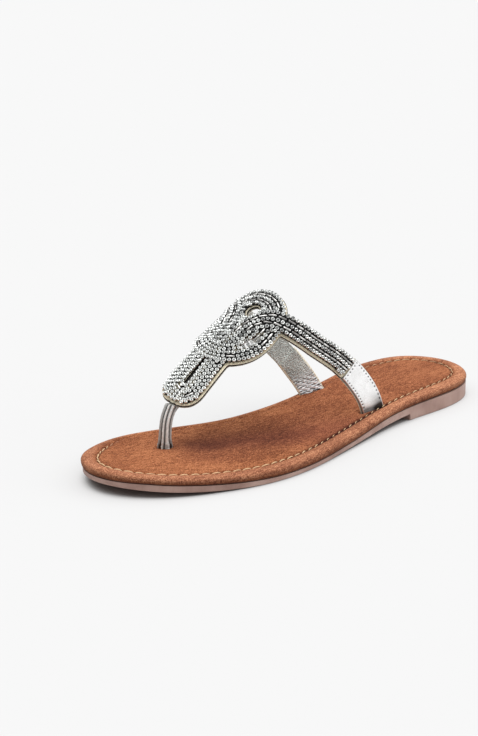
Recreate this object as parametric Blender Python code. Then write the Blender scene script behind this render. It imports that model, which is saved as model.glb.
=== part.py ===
"""Beaded toe-post sandal, left shoe: outsole with heel, footbed, strap panel, toe post and two tabs.

The shoe stands on z = 0 with its toe to -X, its outer side to -Y and its inner side to +Y.
The strap panel and its tabs are cut flat in (across, along, thickness) and then bent over the last.
"""
import math

import bmesh
import bpy
import numpy as np

MM = 0.001

# Sole: all in millimetres, stations counted from the toe end.
LENGTH = 252.0
OUTLINE = (
    # station, reach to the outer side, reach to the inner side
    (10.0, 15.4, 28.4),
    (25.0, 27.8, 38.5),
    (45.0, 37.2, 43.9),
    (70.0, 44.0, 39.4),
    (95.0, 44.2, 30.2),
    (120.0, 39.9, 26.2),
    (145.0, 35.0, 25.4),
    (170.0, 30.7, 27.8),
    (195.0, 29.3, 31.4),
    (220.0, 28.0, 32.6),
    (240.0, 20.8, 26.8),
)
TOE_SIDE = 8.0
HEEL_SIDE = 3.0
OUTLINE_POINTS = 132
SOLE_INSET = 0.8
HEEL_INSET = 0.2
HEEL_RUN = 30.0
SOLE_EDGE = 3.3
WAIST_EXTRA = 0.6
HEEL_SEAM = 7.9
HEEL_BREAST = 184.5
BREAST_SLOPE = 0.2
TOE_SPRING = 5.6
SPRING_START = 72.0
RISE_START = 98.0
RISE_END = 210.0
BED_THICKNESS = 3.6
HEEL_PAD = 0.8
PAD_START = 150.0
PAD_END = 215.0
WAIST_DROP = 1.1
DROP_START = 20.0
DROP_FULL = 90.0
DROP_HOLD = 130.0
DROP_END = 172.0
TOE_DROP = 0.8
TOE_DROP_END = 14.0
BED_ROUND = 1.5
SOLE_ROUND = 0.5
GAP = 0.3
BEND_STEP = 8.0

# Last under the straps: a ridge from the toe post to the instep, with an arch bent across it.
RIDGE_FOOT = (-69.4, 15.2, 29.2)
RIDGE_TOP = (-5.8, 11.7, 73.8)
RIDGE_SWELL = 1.8
OUTER_TURN = math.radians(82.0)
INNER_TURN = math.radians(99.0)
ARCH_REACH = 37.0
TOE_TILT = math.radians(9.8)
TOE_ARCH = 0.73
ARCH_FULL = 66.0
KNOT_REACH = 24.0
ARCH_STEPS = 48

# Strap panel in the flat.
WALL = 2.4
LOOP_HALF = 12.4
LOOP_LENGTH = 44.0
LOOP_SQUARE = 2.6
RING_CENTRE = 52.6
RING_ACROSS = 23.2
RING_ALONG = 25.2
RING_SQUARE = 2.1
RING_REAR = 26.4
RING_REAR_OUTER = 2.3
RING_REAR_INNER = 1.8
RING_SKEW = 1.5
STRAP_LINE = (
    # distance across, outer strap along, inner strap along
    (12.0, 62.5, 62.5),
    (22.0, 66.0, 66.0),
    (40.0, 72.0, 70.4),
    (60.0, 78.4, 74.6),
    (74.0, 80.4, 75.6),
    (86.0, 80.0, 75.6),
    (98.0, 76.4, 74.2),
    (120.0, 66.0, 68.0),
)
STRAP_WIDTH = (
    # distance across, half width
    (12.0, 6.0),
    (68.0, 6.7),
    (98.0, 7.0),
    (120.0, 7.0),
)
STRAP_ROOT = 12.0
STRAP_END = 66.0
SLIT_HALF = 0.8
SLIT_LOW = 13.0
SLIT_HIGH = 30.0
SLIT_SQUARE = 4.0
HOLE_CENTRE = (-1.9, 63.5)
HOLE_ACROSS = 3.2
HOLE_ALONG = 3.3
EYE_CENTRE = (13.4, 47.6)
EYE_LONG = 7.6
EYE_WIDE = 1.7
EYE_POINT = 1.7
EYE_LEAN = math.radians(24.0)
GRID = 5.0
PANEL_LENGTH = 92.0

# Strap tabs and toe post.
TAB_WALL = 1.8
TAB_LENGTH = 46.0
TAB_SINK = 2.2
SLOT_FORWARD = 39.0
SLOT_CLEARANCE = 0.35
SLOT_START = 8.0
POST_PATH = (
    # forward, side, height
    (-74.2, 15.2, 3.9),
    (-73.9, 15.2, 14.0),
    (-72.6, 15.2, 22.0),
    (-69.0, 15.1, 29.0),
    (-61.5, 15.0, 37.0),
)
POST_LONG = 3.6
POST_WIDE = 2.6
POST_STEP = 2.5
POST_SQUARE = 2.4
FLARE = 5.0
FLARE_START = 20.0
FLARE_RUN = 10.0
POST_SINK = 6.0
POST_CLEAR = 16.0
POST_MARGIN = 6.0

# The frame's origin is under the middle of the shoe.
ORIGIN = (-0.03, -0.47)


def smooth(u):
    """Smooth step from 0 to 1."""
    u = np.clip(u, 0.0, 1.0)
    return u * u * (3.0 - 2.0 * u)


def closed_spline(knots, count):
    """Evenly spaced points on a closed cubic spline through the knots."""
    p = np.array(knots, float)
    n = len(p)
    after = np.roll(p, -1, axis=0)
    h = np.linalg.norm(after - p, axis=1)
    system = np.zeros((n, n))
    for i in range(n):
        system[i, i - 1] += h[i - 1]
        system[i, i] += 2.0 * (h[i - 1] + h[i])
        system[i, (i + 1) % n] += h[i]
    slope = (after - p) / h[:, None]
    bend = np.linalg.solve(system, 6.0 * (slope - np.roll(slope, 1, axis=0)))
    dense = []
    for i in range(n):
        j = (i + 1) % n
        u = np.linspace(0.0, 1.0, 40, endpoint=False)[:, None]
        w = 1.0 - u
        curve = w * p[i] + u * p[j]
        curve = curve + h[i] ** 2 / 6.0 * ((w ** 3 - w) * bend[i] + (u ** 3 - u) * bend[j])
        dense.append(curve)
    dense = np.concatenate(dense)
    ring = np.vstack([dense, dense[:1]])
    run = np.concatenate([[0.0], np.cumsum(np.linalg.norm(np.diff(ring, axis=0), axis=1))])
    at = np.linspace(0.0, run[-1], count, endpoint=False)
    return np.stack([np.interp(at, run, ring[:, 0]), np.interp(at, run, ring[:, 1])], axis=1)


def sole_outline(inset, heel_inset):
    """Outline of the sole, moved in by one distance ahead of the heel and by another round it."""
    half = LENGTH / 2.0
    outer = [(s - half, -out) for s, out, _ in OUTLINE]
    inner = [(s - half, into) for s, _, into in reversed(OUTLINE)]
    knots = [(-half, TOE_SIDE)] + outer + [(half, HEEL_SIDE)] + inner
    p = closed_spline(knots, OUTLINE_POINTS)
    along = np.roll(p, -1, axis=0) - np.roll(p, 1, axis=0)
    along /= np.linalg.norm(along, axis=1)[:, None]
    heel = smooth((p[:, 0] + half - HEEL_BREAST) / HEEL_RUN)
    reach = inset + (heel_inset - inset) * heel
    return p + reach[:, None] * np.stack([-along[:, 1], along[:, 0]], axis=1)


def seam_drop(x):
    """How much the footbed gains on the outsole at the waist and at the toe end."""
    s = x + LENGTH / 2.0
    begun = smooth((s - DROP_START) / (DROP_FULL - DROP_START))
    ended = smooth((s - DROP_HOLD) / (DROP_END - DROP_HOLD))
    return WAIST_DROP * (begun - ended) + TOE_DROP * smooth((TOE_DROP_END - s) / TOE_DROP_END)


def seam_height(x):
    """Height of the seam between outsole and footbed."""
    s = x + LENGTH / 2.0
    spring = TOE_SPRING * np.clip((SPRING_START - s) / SPRING_START, 0.0, None) ** 2
    rise = smooth((s - RISE_START) / (RISE_END - RISE_START))
    return SOLE_EDGE + spring + (HEEL_SEAM - SOLE_EDGE) * rise - seam_drop(x)


def sole_depth(x):
    """Thickness of the outsole ahead of the heel."""
    s = x + LENGTH / 2.0
    waist = WAIST_EXTRA * smooth((s - RISE_START) / (HEEL_BREAST - RISE_START))
    return SOLE_EDGE + waist - seam_drop(x)


def bed_thickness(x):
    """Thickness of the footbed, which is padded under the heel."""
    s = x + LENGTH / 2.0
    pad = HEEL_PAD * smooth((s - PAD_START) / (PAD_END - PAD_START))
    return BED_THICKNESS + pad + seam_drop(x)


def last_point(along, across):
    """Points of the last at a distance along the ridge and an arc length across it (plus is inner)."""
    foot = np.array(RIDGE_FOOT)
    ridge = np.array(RIDGE_TOP) - foot
    length = np.linalg.norm(ridge)
    ridge = ridge / length
    side = np.array([0.0, 1.0, 0.0]) - ridge * ridge[1]
    side = side / np.linalg.norm(side)
    up = np.cross(ridge, side)
    sign = np.where(across > 0.0, 1.0, -1.0)
    turn = np.where(across > 0.0, INNER_TURN, OUTER_TURN)
    beyond = np.clip(np.abs(across) - KNOT_REACH, 0.0, None)
    arch = TOE_ARCH + (1.0 - TOE_ARCH) * smooth((along + beyond) / ARCH_FULL)
    tilt = TOE_TILT * (1.0 - smooth(along / length))
    s = np.linspace(0.0, 1.0, ARCH_STEPS)[:, None] * np.abs(across)[None, :]
    angle = arch * turn * smooth(s / ARCH_REACH) - tilt * sign
    step = np.abs(across) / (ARCH_STEPS - 1.0)
    level = np.cos(angle)
    drop = np.sin(angle)
    out = (level.sum(axis=0) - 0.5 * (level[0] + level[-1])) * step * sign
    down = (drop.sum(axis=0) - 0.5 * (drop[0] + drop[-1])) * step
    lift = RIDGE_SWELL * np.sin(math.pi * along / length) - down
    return foot + ridge * along[:, None] + side * out[:, None] + up * lift[:, None]


def lasted(flat):
    """Bends flat points (across, along, thickness) over the last."""
    across = flat[:, 0]
    along = flat[:, 1]
    delta = 0.05
    d_along = last_point(along + delta, across) - last_point(along - delta, across)
    d_across = last_point(along, across + delta) - last_point(along, across - delta)
    normal = np.cross(d_along, d_across)
    normal /= np.linalg.norm(normal, axis=1)[:, None]
    return last_point(along, across) + normal * flat[:, 2][:, None]


def placed(p):
    """Moves points to the frame's origin and from millimetres to metres."""
    return (p - np.array([ORIGIN[0], ORIGIN[1], 0.0])) * MM


def make_material(name, colour, roughness, metallic):
    """Principled material with one colour."""
    material = bpy.data.materials.new(name)
    material.use_nodes = True
    shader = material.node_tree.nodes["Principled BSDF"]
    shader.inputs["Base Color"].default_value = colour + (1.0,)
    shader.inputs["Roughness"].default_value = roughness
    shader.inputs["Metallic"].default_value = metallic
    return material


def add_object(name, mesh, collection):
    """Links a mesh as a named object."""
    item = bpy.data.objects.new(name, mesh)
    collection.objects.link(item)
    return item


def flat_slab(name, loop, low, high, collection):
    """Flat plate with the given outline between two heights, in millimetres."""
    curve = bpy.data.curves.new(name + "_curve", "CURVE")
    curve.dimensions = "2D"
    curve.fill_mode = "BOTH"
    curve.extrude = (high - low) / 2.0
    spline = curve.splines.new("POLY")
    spline.points.add(len(loop) - 1)
    for point, (u, w) in zip(spline.points, loop):
        point.co = (u, w, 0.0, 1.0)
    spline.use_cyclic_u = True
    source = bpy.data.objects.new(name + "_source", curve)
    mesh = bpy.data.meshes.new_from_object(source)
    bpy.data.objects.remove(source)
    bpy.data.curves.remove(curve)
    shape = bmesh.new()
    shape.from_mesh(mesh)
    bmesh.ops.remove_doubles(shape, verts=shape.verts, dist=0.0001)
    level = [e for e in shape.edges if is_level(e)]
    bmesh.ops.dissolve_limit(shape, angle_limit=0.001, verts=shape.verts, edges=level, delimit=set())
    bmesh.ops.translate(shape, verts=shape.verts, vec=(0.0, 0.0, (high + low) / 2.0))
    bmesh.ops.recalc_face_normals(shape, faces=shape.faces)
    shape.to_mesh(mesh)
    shape.free()
    return add_object(name, mesh, collection)


def is_level(edge):
    """True for an edge between two faces of the same plane."""
    return len(edge.link_faces) == 2 and edge.calc_face_angle(0.0) < 0.001


def combine(base, other, operation):
    """Applies a Boolean of another object to the base object's mesh."""
    modifier = base.modifiers.new(operation.lower(), "BOOLEAN")
    modifier.operation = operation
    modifier.solver = "EXACT"
    modifier.object = other
    graph = bpy.context.evaluated_depsgraph_get()
    mesh = bpy.data.meshes.new_from_object(base.evaluated_get(graph))
    base.modifiers.clear()
    base.data = mesh
    shape = bmesh.new()
    shape.from_mesh(mesh)
    bmesh.ops.remove_doubles(shape, verts=shape.verts, dist=3e-6)
    shape.to_mesh(mesh)
    shape.free()


def gathered(name, items, collection):
    """One cutter made of several that stand apart."""
    shape = bmesh.new()
    for item in items:
        shape.from_mesh(item.data)
    mesh = bpy.data.meshes.new(name)
    shape.to_mesh(mesh)
    shape.free()
    return add_object(name, mesh, collection)


def cut_grid(shape, axis, low, high, step):
    """Cuts a mesh across an axis at even steps, so that it can bend."""
    normal = [0.0, 0.0, 0.0]
    normal[axis] = 1.0
    count = int(round((high - low) / step))
    for i in range(1, count):
        point = [0.0, 0.0, 0.0]
        point[axis] = low + (high - low) * i / count
        geometry = shape.verts[:] + shape.edges[:] + shape.faces[:]
        bmesh.ops.bisect_plane(shape, geom=geometry, plane_co=point, plane_no=normal, dist=0.0001)


def reshape(item, bend):
    """Replaces a mesh's flat coordinates by bent ones, and turns its faces outward."""
    shape = bmesh.new()
    shape.from_mesh(item.data)
    flat = np.array([v.co[:] for v in shape.verts])
    for vert, co in zip(shape.verts, placed(bend(flat))):
        vert.co = co
    bmesh.ops.triangulate(shape, faces=shape.faces)
    bmesh.ops.recalc_face_normals(shape, faces=shape.faces)
    shape.to_mesh(item.data)
    shape.free()


def round_rims(item, radius, segments, keep):
    """Rounds the sharp rims of a plate where keep(edge) is true."""
    shape = bmesh.new()
    shape.from_mesh(item.data)
    rims = [e for e in shape.edges if e.calc_face_angle(0.0) > 1.0 and keep(e)]
    bmesh.ops.bevel(shape, geom=rims, offset=radius, segments=segments, profile=0.5, affect="EDGES")
    shape.to_mesh(item.data)
    shape.free()


def grid_item(item, axis, low, high, step):
    """Cuts an object's mesh into strips."""
    shape = bmesh.new()
    shape.from_mesh(item.data)
    cut_grid(shape, axis, low, high, step)
    shape.to_mesh(item.data)
    shape.free()


def build_outsole(collection):
    """Outsole and heel in one: a plate bent to the arch, stepped down to the floor behind the breast."""
    half = LENGTH / 2.0
    breast = HEEL_BREAST - half
    sole = flat_slab("outsole", sole_outline(SOLE_INSET, HEEL_INSET), 0.0, 1.0, collection)
    round_rims(sole, SOLE_ROUND / SOLE_EDGE, 1, lambda e: max(v.co.z for v in e.verts) < 0.01)
    grid_item(sole, 0, -half, half, BEND_STEP)
    grid_item(sole, 0, breast - BREAST_SLOPE, breast + BREAST_SLOPE, BREAST_SLOPE)
    grid_item(sole, 0, breast, breast + 2.0 * BREAST_SLOPE, BREAST_SLOPE)

    def bend_sole(flat):
        x = flat[:, 0]
        top = seam_height(x)
        depth = np.where(x > breast + 0.5 * BREAST_SLOPE, top, sole_depth(x))
        return np.stack([x, flat[:, 1], top - (1.0 - flat[:, 2]) * depth], axis=1)

    reshape(sole, bend_sole)
    return sole


def ribbon(side, start, end, extra):
    """Closed outline of a strap between two distances across, in the flat."""
    at = np.linspace(start, end, 1 + int(round((end - start) / GRID)) * 2)
    line = np.array(STRAP_LINE)
    column = 2 if side > 0 else 1
    middle = spline_through(line[:, 0], line[:, column], at)
    wide = np.array(STRAP_WIDTH)
    half = np.interp(at, wide[:, 0], wide[:, 1]) + extra
    slope = np.gradient(middle, at)
    lean = slope / np.sqrt(1.0 + slope * slope)
    rise = 1.0 / np.sqrt(1.0 + slope * slope)
    upper = np.stack([side * (at - half * lean), middle + half * rise], axis=1)
    lower = np.stack([side * (at + half * lean), middle - half * rise], axis=1)
    return np.vstack([upper, lower[::-1]])


def spline_through(x, y, at):
    """Smooth curve through a short table, with slopes taken from the neighbours."""
    slope = np.gradient(y, x)
    k = np.clip(np.searchsorted(x, at) - 1, 0, len(x) - 2)
    h = x[k + 1] - x[k]
    u = (at - x[k]) / h
    a = (1.0 + 2.0 * u) * (1.0 - u) ** 2 * y[k] + u * (1.0 - u) ** 2 * h * slope[k]
    b = u * u * (3.0 - 2.0 * u) * y[k + 1] + u * u * (u - 1.0) * h * slope[k + 1]
    return a + b


def oval(centre, across, along, lean, power, count):
    """Closed oval in the flat; power 2 is an ellipse and more is squarer."""
    angle = np.linspace(0.0, 2.0 * math.pi, count, endpoint=False)
    u = across * np.sign(np.cos(angle)) * np.abs(np.cos(angle)) ** (2.0 / power)
    w = along * np.sign(np.sin(angle)) * np.abs(np.sin(angle)) ** (2.0 / power)
    x = centre[0] + u * math.cos(lean) - w * math.sin(lean)
    y = centre[1] + u * math.sin(lean) + w * math.cos(lean)
    return np.stack([x, y], axis=1)


def ring_outline():
    """Closed outline of the ring, longer towards the heel and drawn a little to the outer side there."""
    angle = np.linspace(0.0, 2.0 * math.pi, 72, endpoint=False)
    cos = np.cos(angle)
    sin = np.sin(angle)
    rear = sin > 0.0
    power = 2.0 / np.where(rear, np.where(cos < 0.0, RING_REAR_OUTER, RING_REAR_INNER), RING_SQUARE)
    reach = np.abs(sin) ** power
    across = RING_ACROSS * np.sign(cos) * np.abs(cos) ** power - RING_SKEW * np.where(rear, reach * reach, 0.0)
    along = np.where(rear, RING_REAR, -RING_ALONG) * reach
    return np.stack([across, RING_CENTRE + along], axis=1)


def toe_loop_outline(extra):
    """Closed outline of the toe loop: a rounded end and two straight sides."""
    half = LOOP_HALF + extra
    angle = np.linspace(math.pi, 2.0 * math.pi, 25)
    u = half * np.sign(np.cos(angle)) * np.abs(np.cos(angle)) ** (2.0 / LOOP_SQUARE)
    w = half - half * np.abs(np.sin(angle)) ** (2.0 / LOOP_SQUARE) - extra
    return np.vstack([np.stack([u, w], axis=1), [(half, LOOP_LENGTH), (-half, LOOP_LENGTH)]])


def build_upper(collection, cutters):
    """Strap panel: toe loop, ring and straps joined in the flat, opened, and bent over the last."""
    low = -WALL / 2.0
    high = WALL / 2.0
    upper = flat_slab("upper", ring_outline(), low, high, collection)
    joins = [flat_slab("toe_loop", toe_loop_outline(0.0), low, high, cutters)]
    for side, name in ((-1.0, "outer_strap"), (1.0, "inner_strap")):
        joins.append(flat_slab(name, ribbon(side, STRAP_ROOT, STRAP_END, 0.0), low, high, cutters))
    for piece in joins:
        combine(upper, piece, "UNION")
    middle = (SLIT_LOW + SLIT_HIGH) / 2.0
    reach = (SLIT_HIGH - SLIT_LOW) / 2.0
    openings = [("slit", oval((0.0, middle), SLIT_HALF, reach, 0.0, SLIT_SQUARE, 24))]
    openings.append(("ring_hole", oval(HOLE_CENTRE, HOLE_ACROSS, HOLE_ALONG, 0.0, 2.0, 20)))
    for side, name in ((-1.0, "outer_eye"), (1.0, "inner_eye")):
        centre = (side * EYE_CENTRE[0], EYE_CENTRE[1])
        openings.append((name, oval(centre, EYE_WIDE, EYE_LONG, -side * EYE_LEAN, EYE_POINT, 24)))
    holes = [flat_slab(name, loop, 2.0 * low, 2.0 * high, cutters) for name, loop in openings]
    combine(upper, gathered("upper_holes", holes, cutters), "DIFFERENCE")
    shape = bmesh.new()
    shape.from_mesh(upper.data)
    bmesh.ops.triangulate(shape, faces=shape.faces)
    cut_grid(shape, 0, -STRAP_END - GRID, STRAP_END + GRID, GRID)
    cut_grid(shape, 1, 0.0, PANEL_LENGTH, GRID)
    shape.to_mesh(upper.data)
    shape.free()
    reshape(upper, lasted)
    return upper


def strap_tab(name, side, extra, wall, collection):
    """Plain end of a strap, bent over the last and run down past the footbed."""
    start = STRAP_END + GAP if extra == 0.0 else STRAP_END + SLOT_START
    loop = ribbon(side, start, STRAP_END + TAB_LENGTH, extra)
    tab = flat_slab(name, loop, -wall / 2.0, wall / 2.0, collection)
    grid_item(tab, 0, side * (STRAP_END - GRID), side * (STRAP_END + TAB_LENGTH + GRID), side * GRID)
    reshape(tab, lasted)
    return tab


def trim_below(item, height):
    """Cuts an object off level at a height in millimetres and closes it."""
    shape = bmesh.new()
    shape.from_mesh(item.data)
    geometry = shape.verts[:] + shape.edges[:] + shape.faces[:]
    level = (0.0, 0.0, height * MM)
    cut = bmesh.ops.bisect_plane(
        shape, geom=geometry, plane_co=level, plane_no=(0.0, 0.0, 1.0), clear_inner=True, dist=1e-7
    )
    rim = [g for g in cut["geom_cut"] if isinstance(g, bmesh.types.BMEdge)]
    bmesh.ops.edgenet_fill(shape, edges=rim)
    bmesh.ops.triangulate(shape, faces=shape.faces)
    bmesh.ops.recalc_face_normals(shape, faces=shape.faces)
    shape.to_mesh(item.data)
    shape.free()


def swept_post(name, extra, start, collection):
    """Oval bar bent along the post's path, grown by extra and started lower by start."""
    path = np.array(POST_PATH)
    path[0, 2] -= start
    run = np.concatenate([[0.0], np.cumsum(np.linalg.norm(np.diff(path, axis=0), axis=1))])
    loop = oval((0.0, 0.0), POST_LONG + extra, POST_WIDE + extra, 0.0, POST_SQUARE, 20)
    post = flat_slab(name, loop, 0.0, run[-1], collection)
    grid_item(post, 2, 0.0, run[-1], POST_STEP)

    def bend_post(flat):
        at = flat[:, 2]
        line = np.stack([spline_through(run, path[:, i], at) for i in range(3)], axis=1)
        ahead = np.stack([spline_through(run, path[:, i], at + 0.01) for i in range(3)], axis=1)
        along = ahead - line
        along /= np.linalg.norm(along, axis=1)[:, None]
        back = np.stack([along[:, 2], np.zeros(len(at)), -along[:, 0]], axis=1)
        side = np.array([0.0, 1.0, 0.0])
        rise = np.clip((at - start - FLARE_START) / FLARE_RUN, 0.0, 1.0)
        flare = FLARE * rise * rise * np.clip(flat[:, 0] / POST_LONG, 0.0, 1.0)
        return line + back * (flat[:, 0] + flare)[:, None] + side * flat[:, 1][:, None]

    reshape(post, bend_post)
    return post


def build_toe_post(collection, cutters):
    """Toe post, ended just under the toe loop."""
    post = swept_post("toe_post", 0.0, 0.0, collection)
    clear = flat_slab("post_end", toe_loop_outline(POST_MARGIN), -WALL / 2.0 - GAP, POST_CLEAR, cutters)
    wide = LOOP_HALF + 2.0 * POST_MARGIN
    grid_item(clear, 0, -wide, wide, GRID)
    grid_item(clear, 1, -2.0 * POST_MARGIN, LOOP_LENGTH, GRID)
    reshape(clear, lasted)
    combine(post, clear, "DIFFERENCE")
    return post


def build_footbed(collection, cutters):
    """Footbed: a plate with a rounded edge, bent to the arch and slotted for the post and the tabs."""
    half = LENGTH / 2.0
    bed = flat_slab("footbed", sole_outline(0.0, 0.0), 0.0, BED_THICKNESS, collection)
    round_rims(bed, BED_ROUND, 3, lambda e: True)
    grid_item(bed, 0, -half, half, BEND_STEP)

    def bend_bed(flat):
        x = flat[:, 0]
        thick = bed_thickness(x) / BED_THICKNESS
        return np.stack([x, flat[:, 1], seam_height(x) + GAP + flat[:, 2] * thick], axis=1)

    reshape(bed, bend_bed)
    holes = [swept_post("post_hole", SLOT_CLEARANCE, POST_SINK, cutters)]
    for side, name in ((-1.0, "outer_slot"), (1.0, "inner_slot")):
        holes.append(strap_tab(name, side, SLOT_CLEARANCE, TAB_WALL + 2.0 * SLOT_CLEARANCE, cutters))
    combine(bed, gathered("bed_holes", holes, cutters), "DIFFERENCE")
    return bed


def main():
    """Builds every piece of the shoe."""
    for item in list(bpy.data.objects):
        bpy.data.objects.remove(item)
    scene = bpy.context.scene
    parts = bpy.data.collections.new("beaded_sandal")
    cutters = bpy.data.collections.new("cutters")
    scene.collection.children.link(parts)
    scene.collection.children.link(cutters)
    outsole = build_outsole(parts)
    footbed = build_footbed(parts, cutters)
    upper = build_upper(parts, cutters)
    post = build_toe_post(parts, cutters)
    tabs = []
    for side, name in ((-1.0, "strap_tab_lateral"), (1.0, "strap_tab_medial")):
        tab = strap_tab(name, side, 0.0, TAB_WALL, parts)
        trim_below(tab, float(seam_height(SLOT_FORWARD)) + BED_THICKNESS - TAB_SINK)
        tabs.append(tab)
    finishes = (
        (outsole, "outsole_rubber", (0.43, 0.30, 0.26), 0.55, 0.0),
        (footbed, "tan_suede", (0.40, 0.13, 0.055), 0.9, 0.0),
        (upper, "beaded_leather", (0.62, 0.61, 0.58), 0.35, 0.8),
        (post, "silver_leather", (0.66, 0.65, 0.62), 0.35, 0.6),
        (tabs[0], "silver_leather_outer", (0.80, 0.80, 0.80), 0.3, 0.6),
        (tabs[1], "silver_leather_inner", (0.80, 0.80, 0.80), 0.3, 0.6),
    )
    for item, name, colour, roughness, metallic in finishes:
        item.data.materials.clear()
        item.data.materials.append(make_material(name, colour, roughness, metallic))
    for cutter in cutters.objects:
        cutter.hide_render = True
        cutter.display_type = "WIRE"


main()
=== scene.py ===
"""Looks of a beaded toe-post sandal, left shoe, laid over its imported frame.

The toe points to -X, the outer side to -Y, and the floor is z = 0. Sizes are millimetres until a mesh is
placed. Straps, beads and tabs are drawn flat as (across, along, height) and then bent over the last.
"""

import logging
import math
from collections.abc import Callable, Sequence
from dataclasses import dataclass, field
from enum import Enum

import bmesh
import bpy
import numpy as np
from mathutils import Matrix, Vector
from mathutils.kdtree import KDTree


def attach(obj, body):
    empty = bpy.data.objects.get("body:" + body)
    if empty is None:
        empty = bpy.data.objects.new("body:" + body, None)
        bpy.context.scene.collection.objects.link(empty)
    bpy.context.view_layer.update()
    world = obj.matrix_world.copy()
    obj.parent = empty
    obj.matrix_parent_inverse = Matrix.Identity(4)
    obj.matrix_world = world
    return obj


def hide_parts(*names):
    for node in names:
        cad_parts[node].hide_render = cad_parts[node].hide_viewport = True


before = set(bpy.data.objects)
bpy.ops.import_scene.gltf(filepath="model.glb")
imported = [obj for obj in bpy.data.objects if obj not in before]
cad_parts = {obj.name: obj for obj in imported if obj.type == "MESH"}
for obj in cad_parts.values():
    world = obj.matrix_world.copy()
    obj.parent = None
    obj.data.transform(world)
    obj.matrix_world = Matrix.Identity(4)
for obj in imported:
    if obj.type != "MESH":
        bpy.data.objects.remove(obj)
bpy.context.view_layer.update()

Array = np.ndarray
Span = tuple[float, float]
Triple = tuple[float, float, float]
Colour = Triple
Socket = bpy.types.NodeSocket

MM = 0.001
DRAWING_ORIGIN = (-0.03, -0.47, 0.0)
BODY = "root"
SEED_OF_CHANCE = 11
SHARP_ANGLE = math.radians(50.0)
STITCH_SIDES = 8
STITCH_RINGS = 9
STITCH_TIP = 0.12
STITCH_SPREAD = 1.25
log = logging.getLogger("beaded_sandal")


class Slot(Enum):
    """Material slots of the record."""

    RUBBER = "outsole_rubber"
    SUEDE = "tan_suede"
    BEADED = "beaded_leather"
    SILVER = "silver_leather"


class Side(Enum):
    """Sides of the shoe, as the sign of the flat's across direction."""

    OUTER = -1
    INNER = 1


class BeadKind(Enum):
    """Kinds of bead sewn on the bands."""

    SEED = "seed"
    BUGLE = "bugle"


class Falloff(Enum):
    """Ways for a shader value to go from one end of a range to the other."""

    STRAIGHT = "LINEAR"
    SOFT = "SMOOTHSTEP"


def around(count: int) -> Array:
    """Angles of points spaced evenly round a circle."""
    return np.linspace(0.0, 2.0 * math.pi, count, endpoint=False)


def srgb(red: int, green: int, blue: int) -> Colour:
    """Linear colour of a display colour.

    Args:
        red: red from 0 to 255.
        green: green from 0 to 255.
        blue: blue from 0 to 255.

    Returns:
        The colour as linear values from 0 to 1.
    """

    def linear(value: int) -> float:
        """Linear value of one display channel."""
        v = value / 255.0
        return v / 12.92 if v <= 0.04045 else ((v + 0.055) / 1.055) ** 2.4

    return linear(red), linear(green), linear(blue)


def smooth(u: Array | float) -> Array:
    """Smooth step from 0 to 1."""
    u = np.clip(u, 0.0, 1.0)
    return u * u * (3.0 - 2.0 * u)


def eased(value: Array, start: float, end: float) -> Array:
    """Smooth step from 0 at the start to 1 at the end."""
    return smooth((value - start) / (end - start))


def run_length(points: Array) -> Array:
    """Length along a line of points, from 0 at the first."""
    return np.concatenate([[0.0], np.cumsum(np.linalg.norm(np.diff(points, axis=0), axis=1))])


def hermite(x: Array, y: Array, at: Array) -> Array:
    """Smooth curve through a short table.

    Args:
        x: places of the table's rows, rising.
        y: values of the rows, single or several to a row.
        at: places to read.

    Returns:
        The values there, with slopes taken from the neighbours.
    """
    slope = np.gradient(y, x, axis=0)
    k = np.clip(np.searchsorted(x, at) - 1, 0, len(x) - 2)
    h = (x[k + 1] - x[k]).reshape(-1, *[1] * (y.ndim - 1))
    u = (at - x[k]).reshape(h.shape) / h
    first = (1.0 + 2.0 * u) * (1.0 - u) ** 2 * y[k] + u * (1.0 - u) ** 2 * h * slope[k]
    second = u * u * (3.0 - 2.0 * u) * y[k + 1] + u * u * (u - 1.0) * h * slope[k + 1]
    return first + second


def read_along(points: Array, run: Array, at: Array) -> Array:
    """Points of a line at lengths along it, where run is the length at each of its own points."""
    return np.stack([np.interp(at, run, points[:, i]) for i in range(points.shape[1])], axis=1)


def resampled(points: Array, step: float) -> Array:
    """Points spaced evenly along a line.

    Args:
        points: the line's points.
        step: distance wanted between points.

    Returns:
        New points, the first and last included.
    """
    run = run_length(points)
    at = np.linspace(0.0, run[-1], 1 + max(2, int(round(run[-1] / step))))
    return read_along(points, run, at)


def headings(points: Array, closed: bool) -> Array:
    """Unit directions along a line of points.

    Args:
        points: the line's points.
        closed: whether the last point meets the first.

    Returns:
        One direction for each point.
    """
    if closed:
        along = np.roll(points, -1, axis=0) - np.roll(points, 1, axis=0)
    else:
        along = np.gradient(points, axis=0)
    return normalised(along)


def normalised(vectors: Array) -> Array:
    """Vectors brought to length 1."""
    return vectors / np.linalg.norm(vectors, axis=1)[:, None]


def near_line(flat: Array, start: Array, end: Array) -> tuple[Array, Array]:
    """Nearness of plan points to a straight line.

    Args:
        flat: plan points.
        start: first end of the line.
        end: other end of the line, which may be the same.

    Returns:
        Distances to the line, and shares of its length at the nearest places.
    """
    span = end - start
    share = np.clip(((flat - start) @ span) / max(float(span @ span), 1e-9), 0.0, 1.0)
    return np.linalg.norm(flat - (start + share[:, None] * span), axis=1), share


def placed(points: Array) -> Array:
    """Drawing points in millimetres as part points in metres."""
    return (points - np.array(DRAWING_ORIGIN)) * MM


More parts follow.
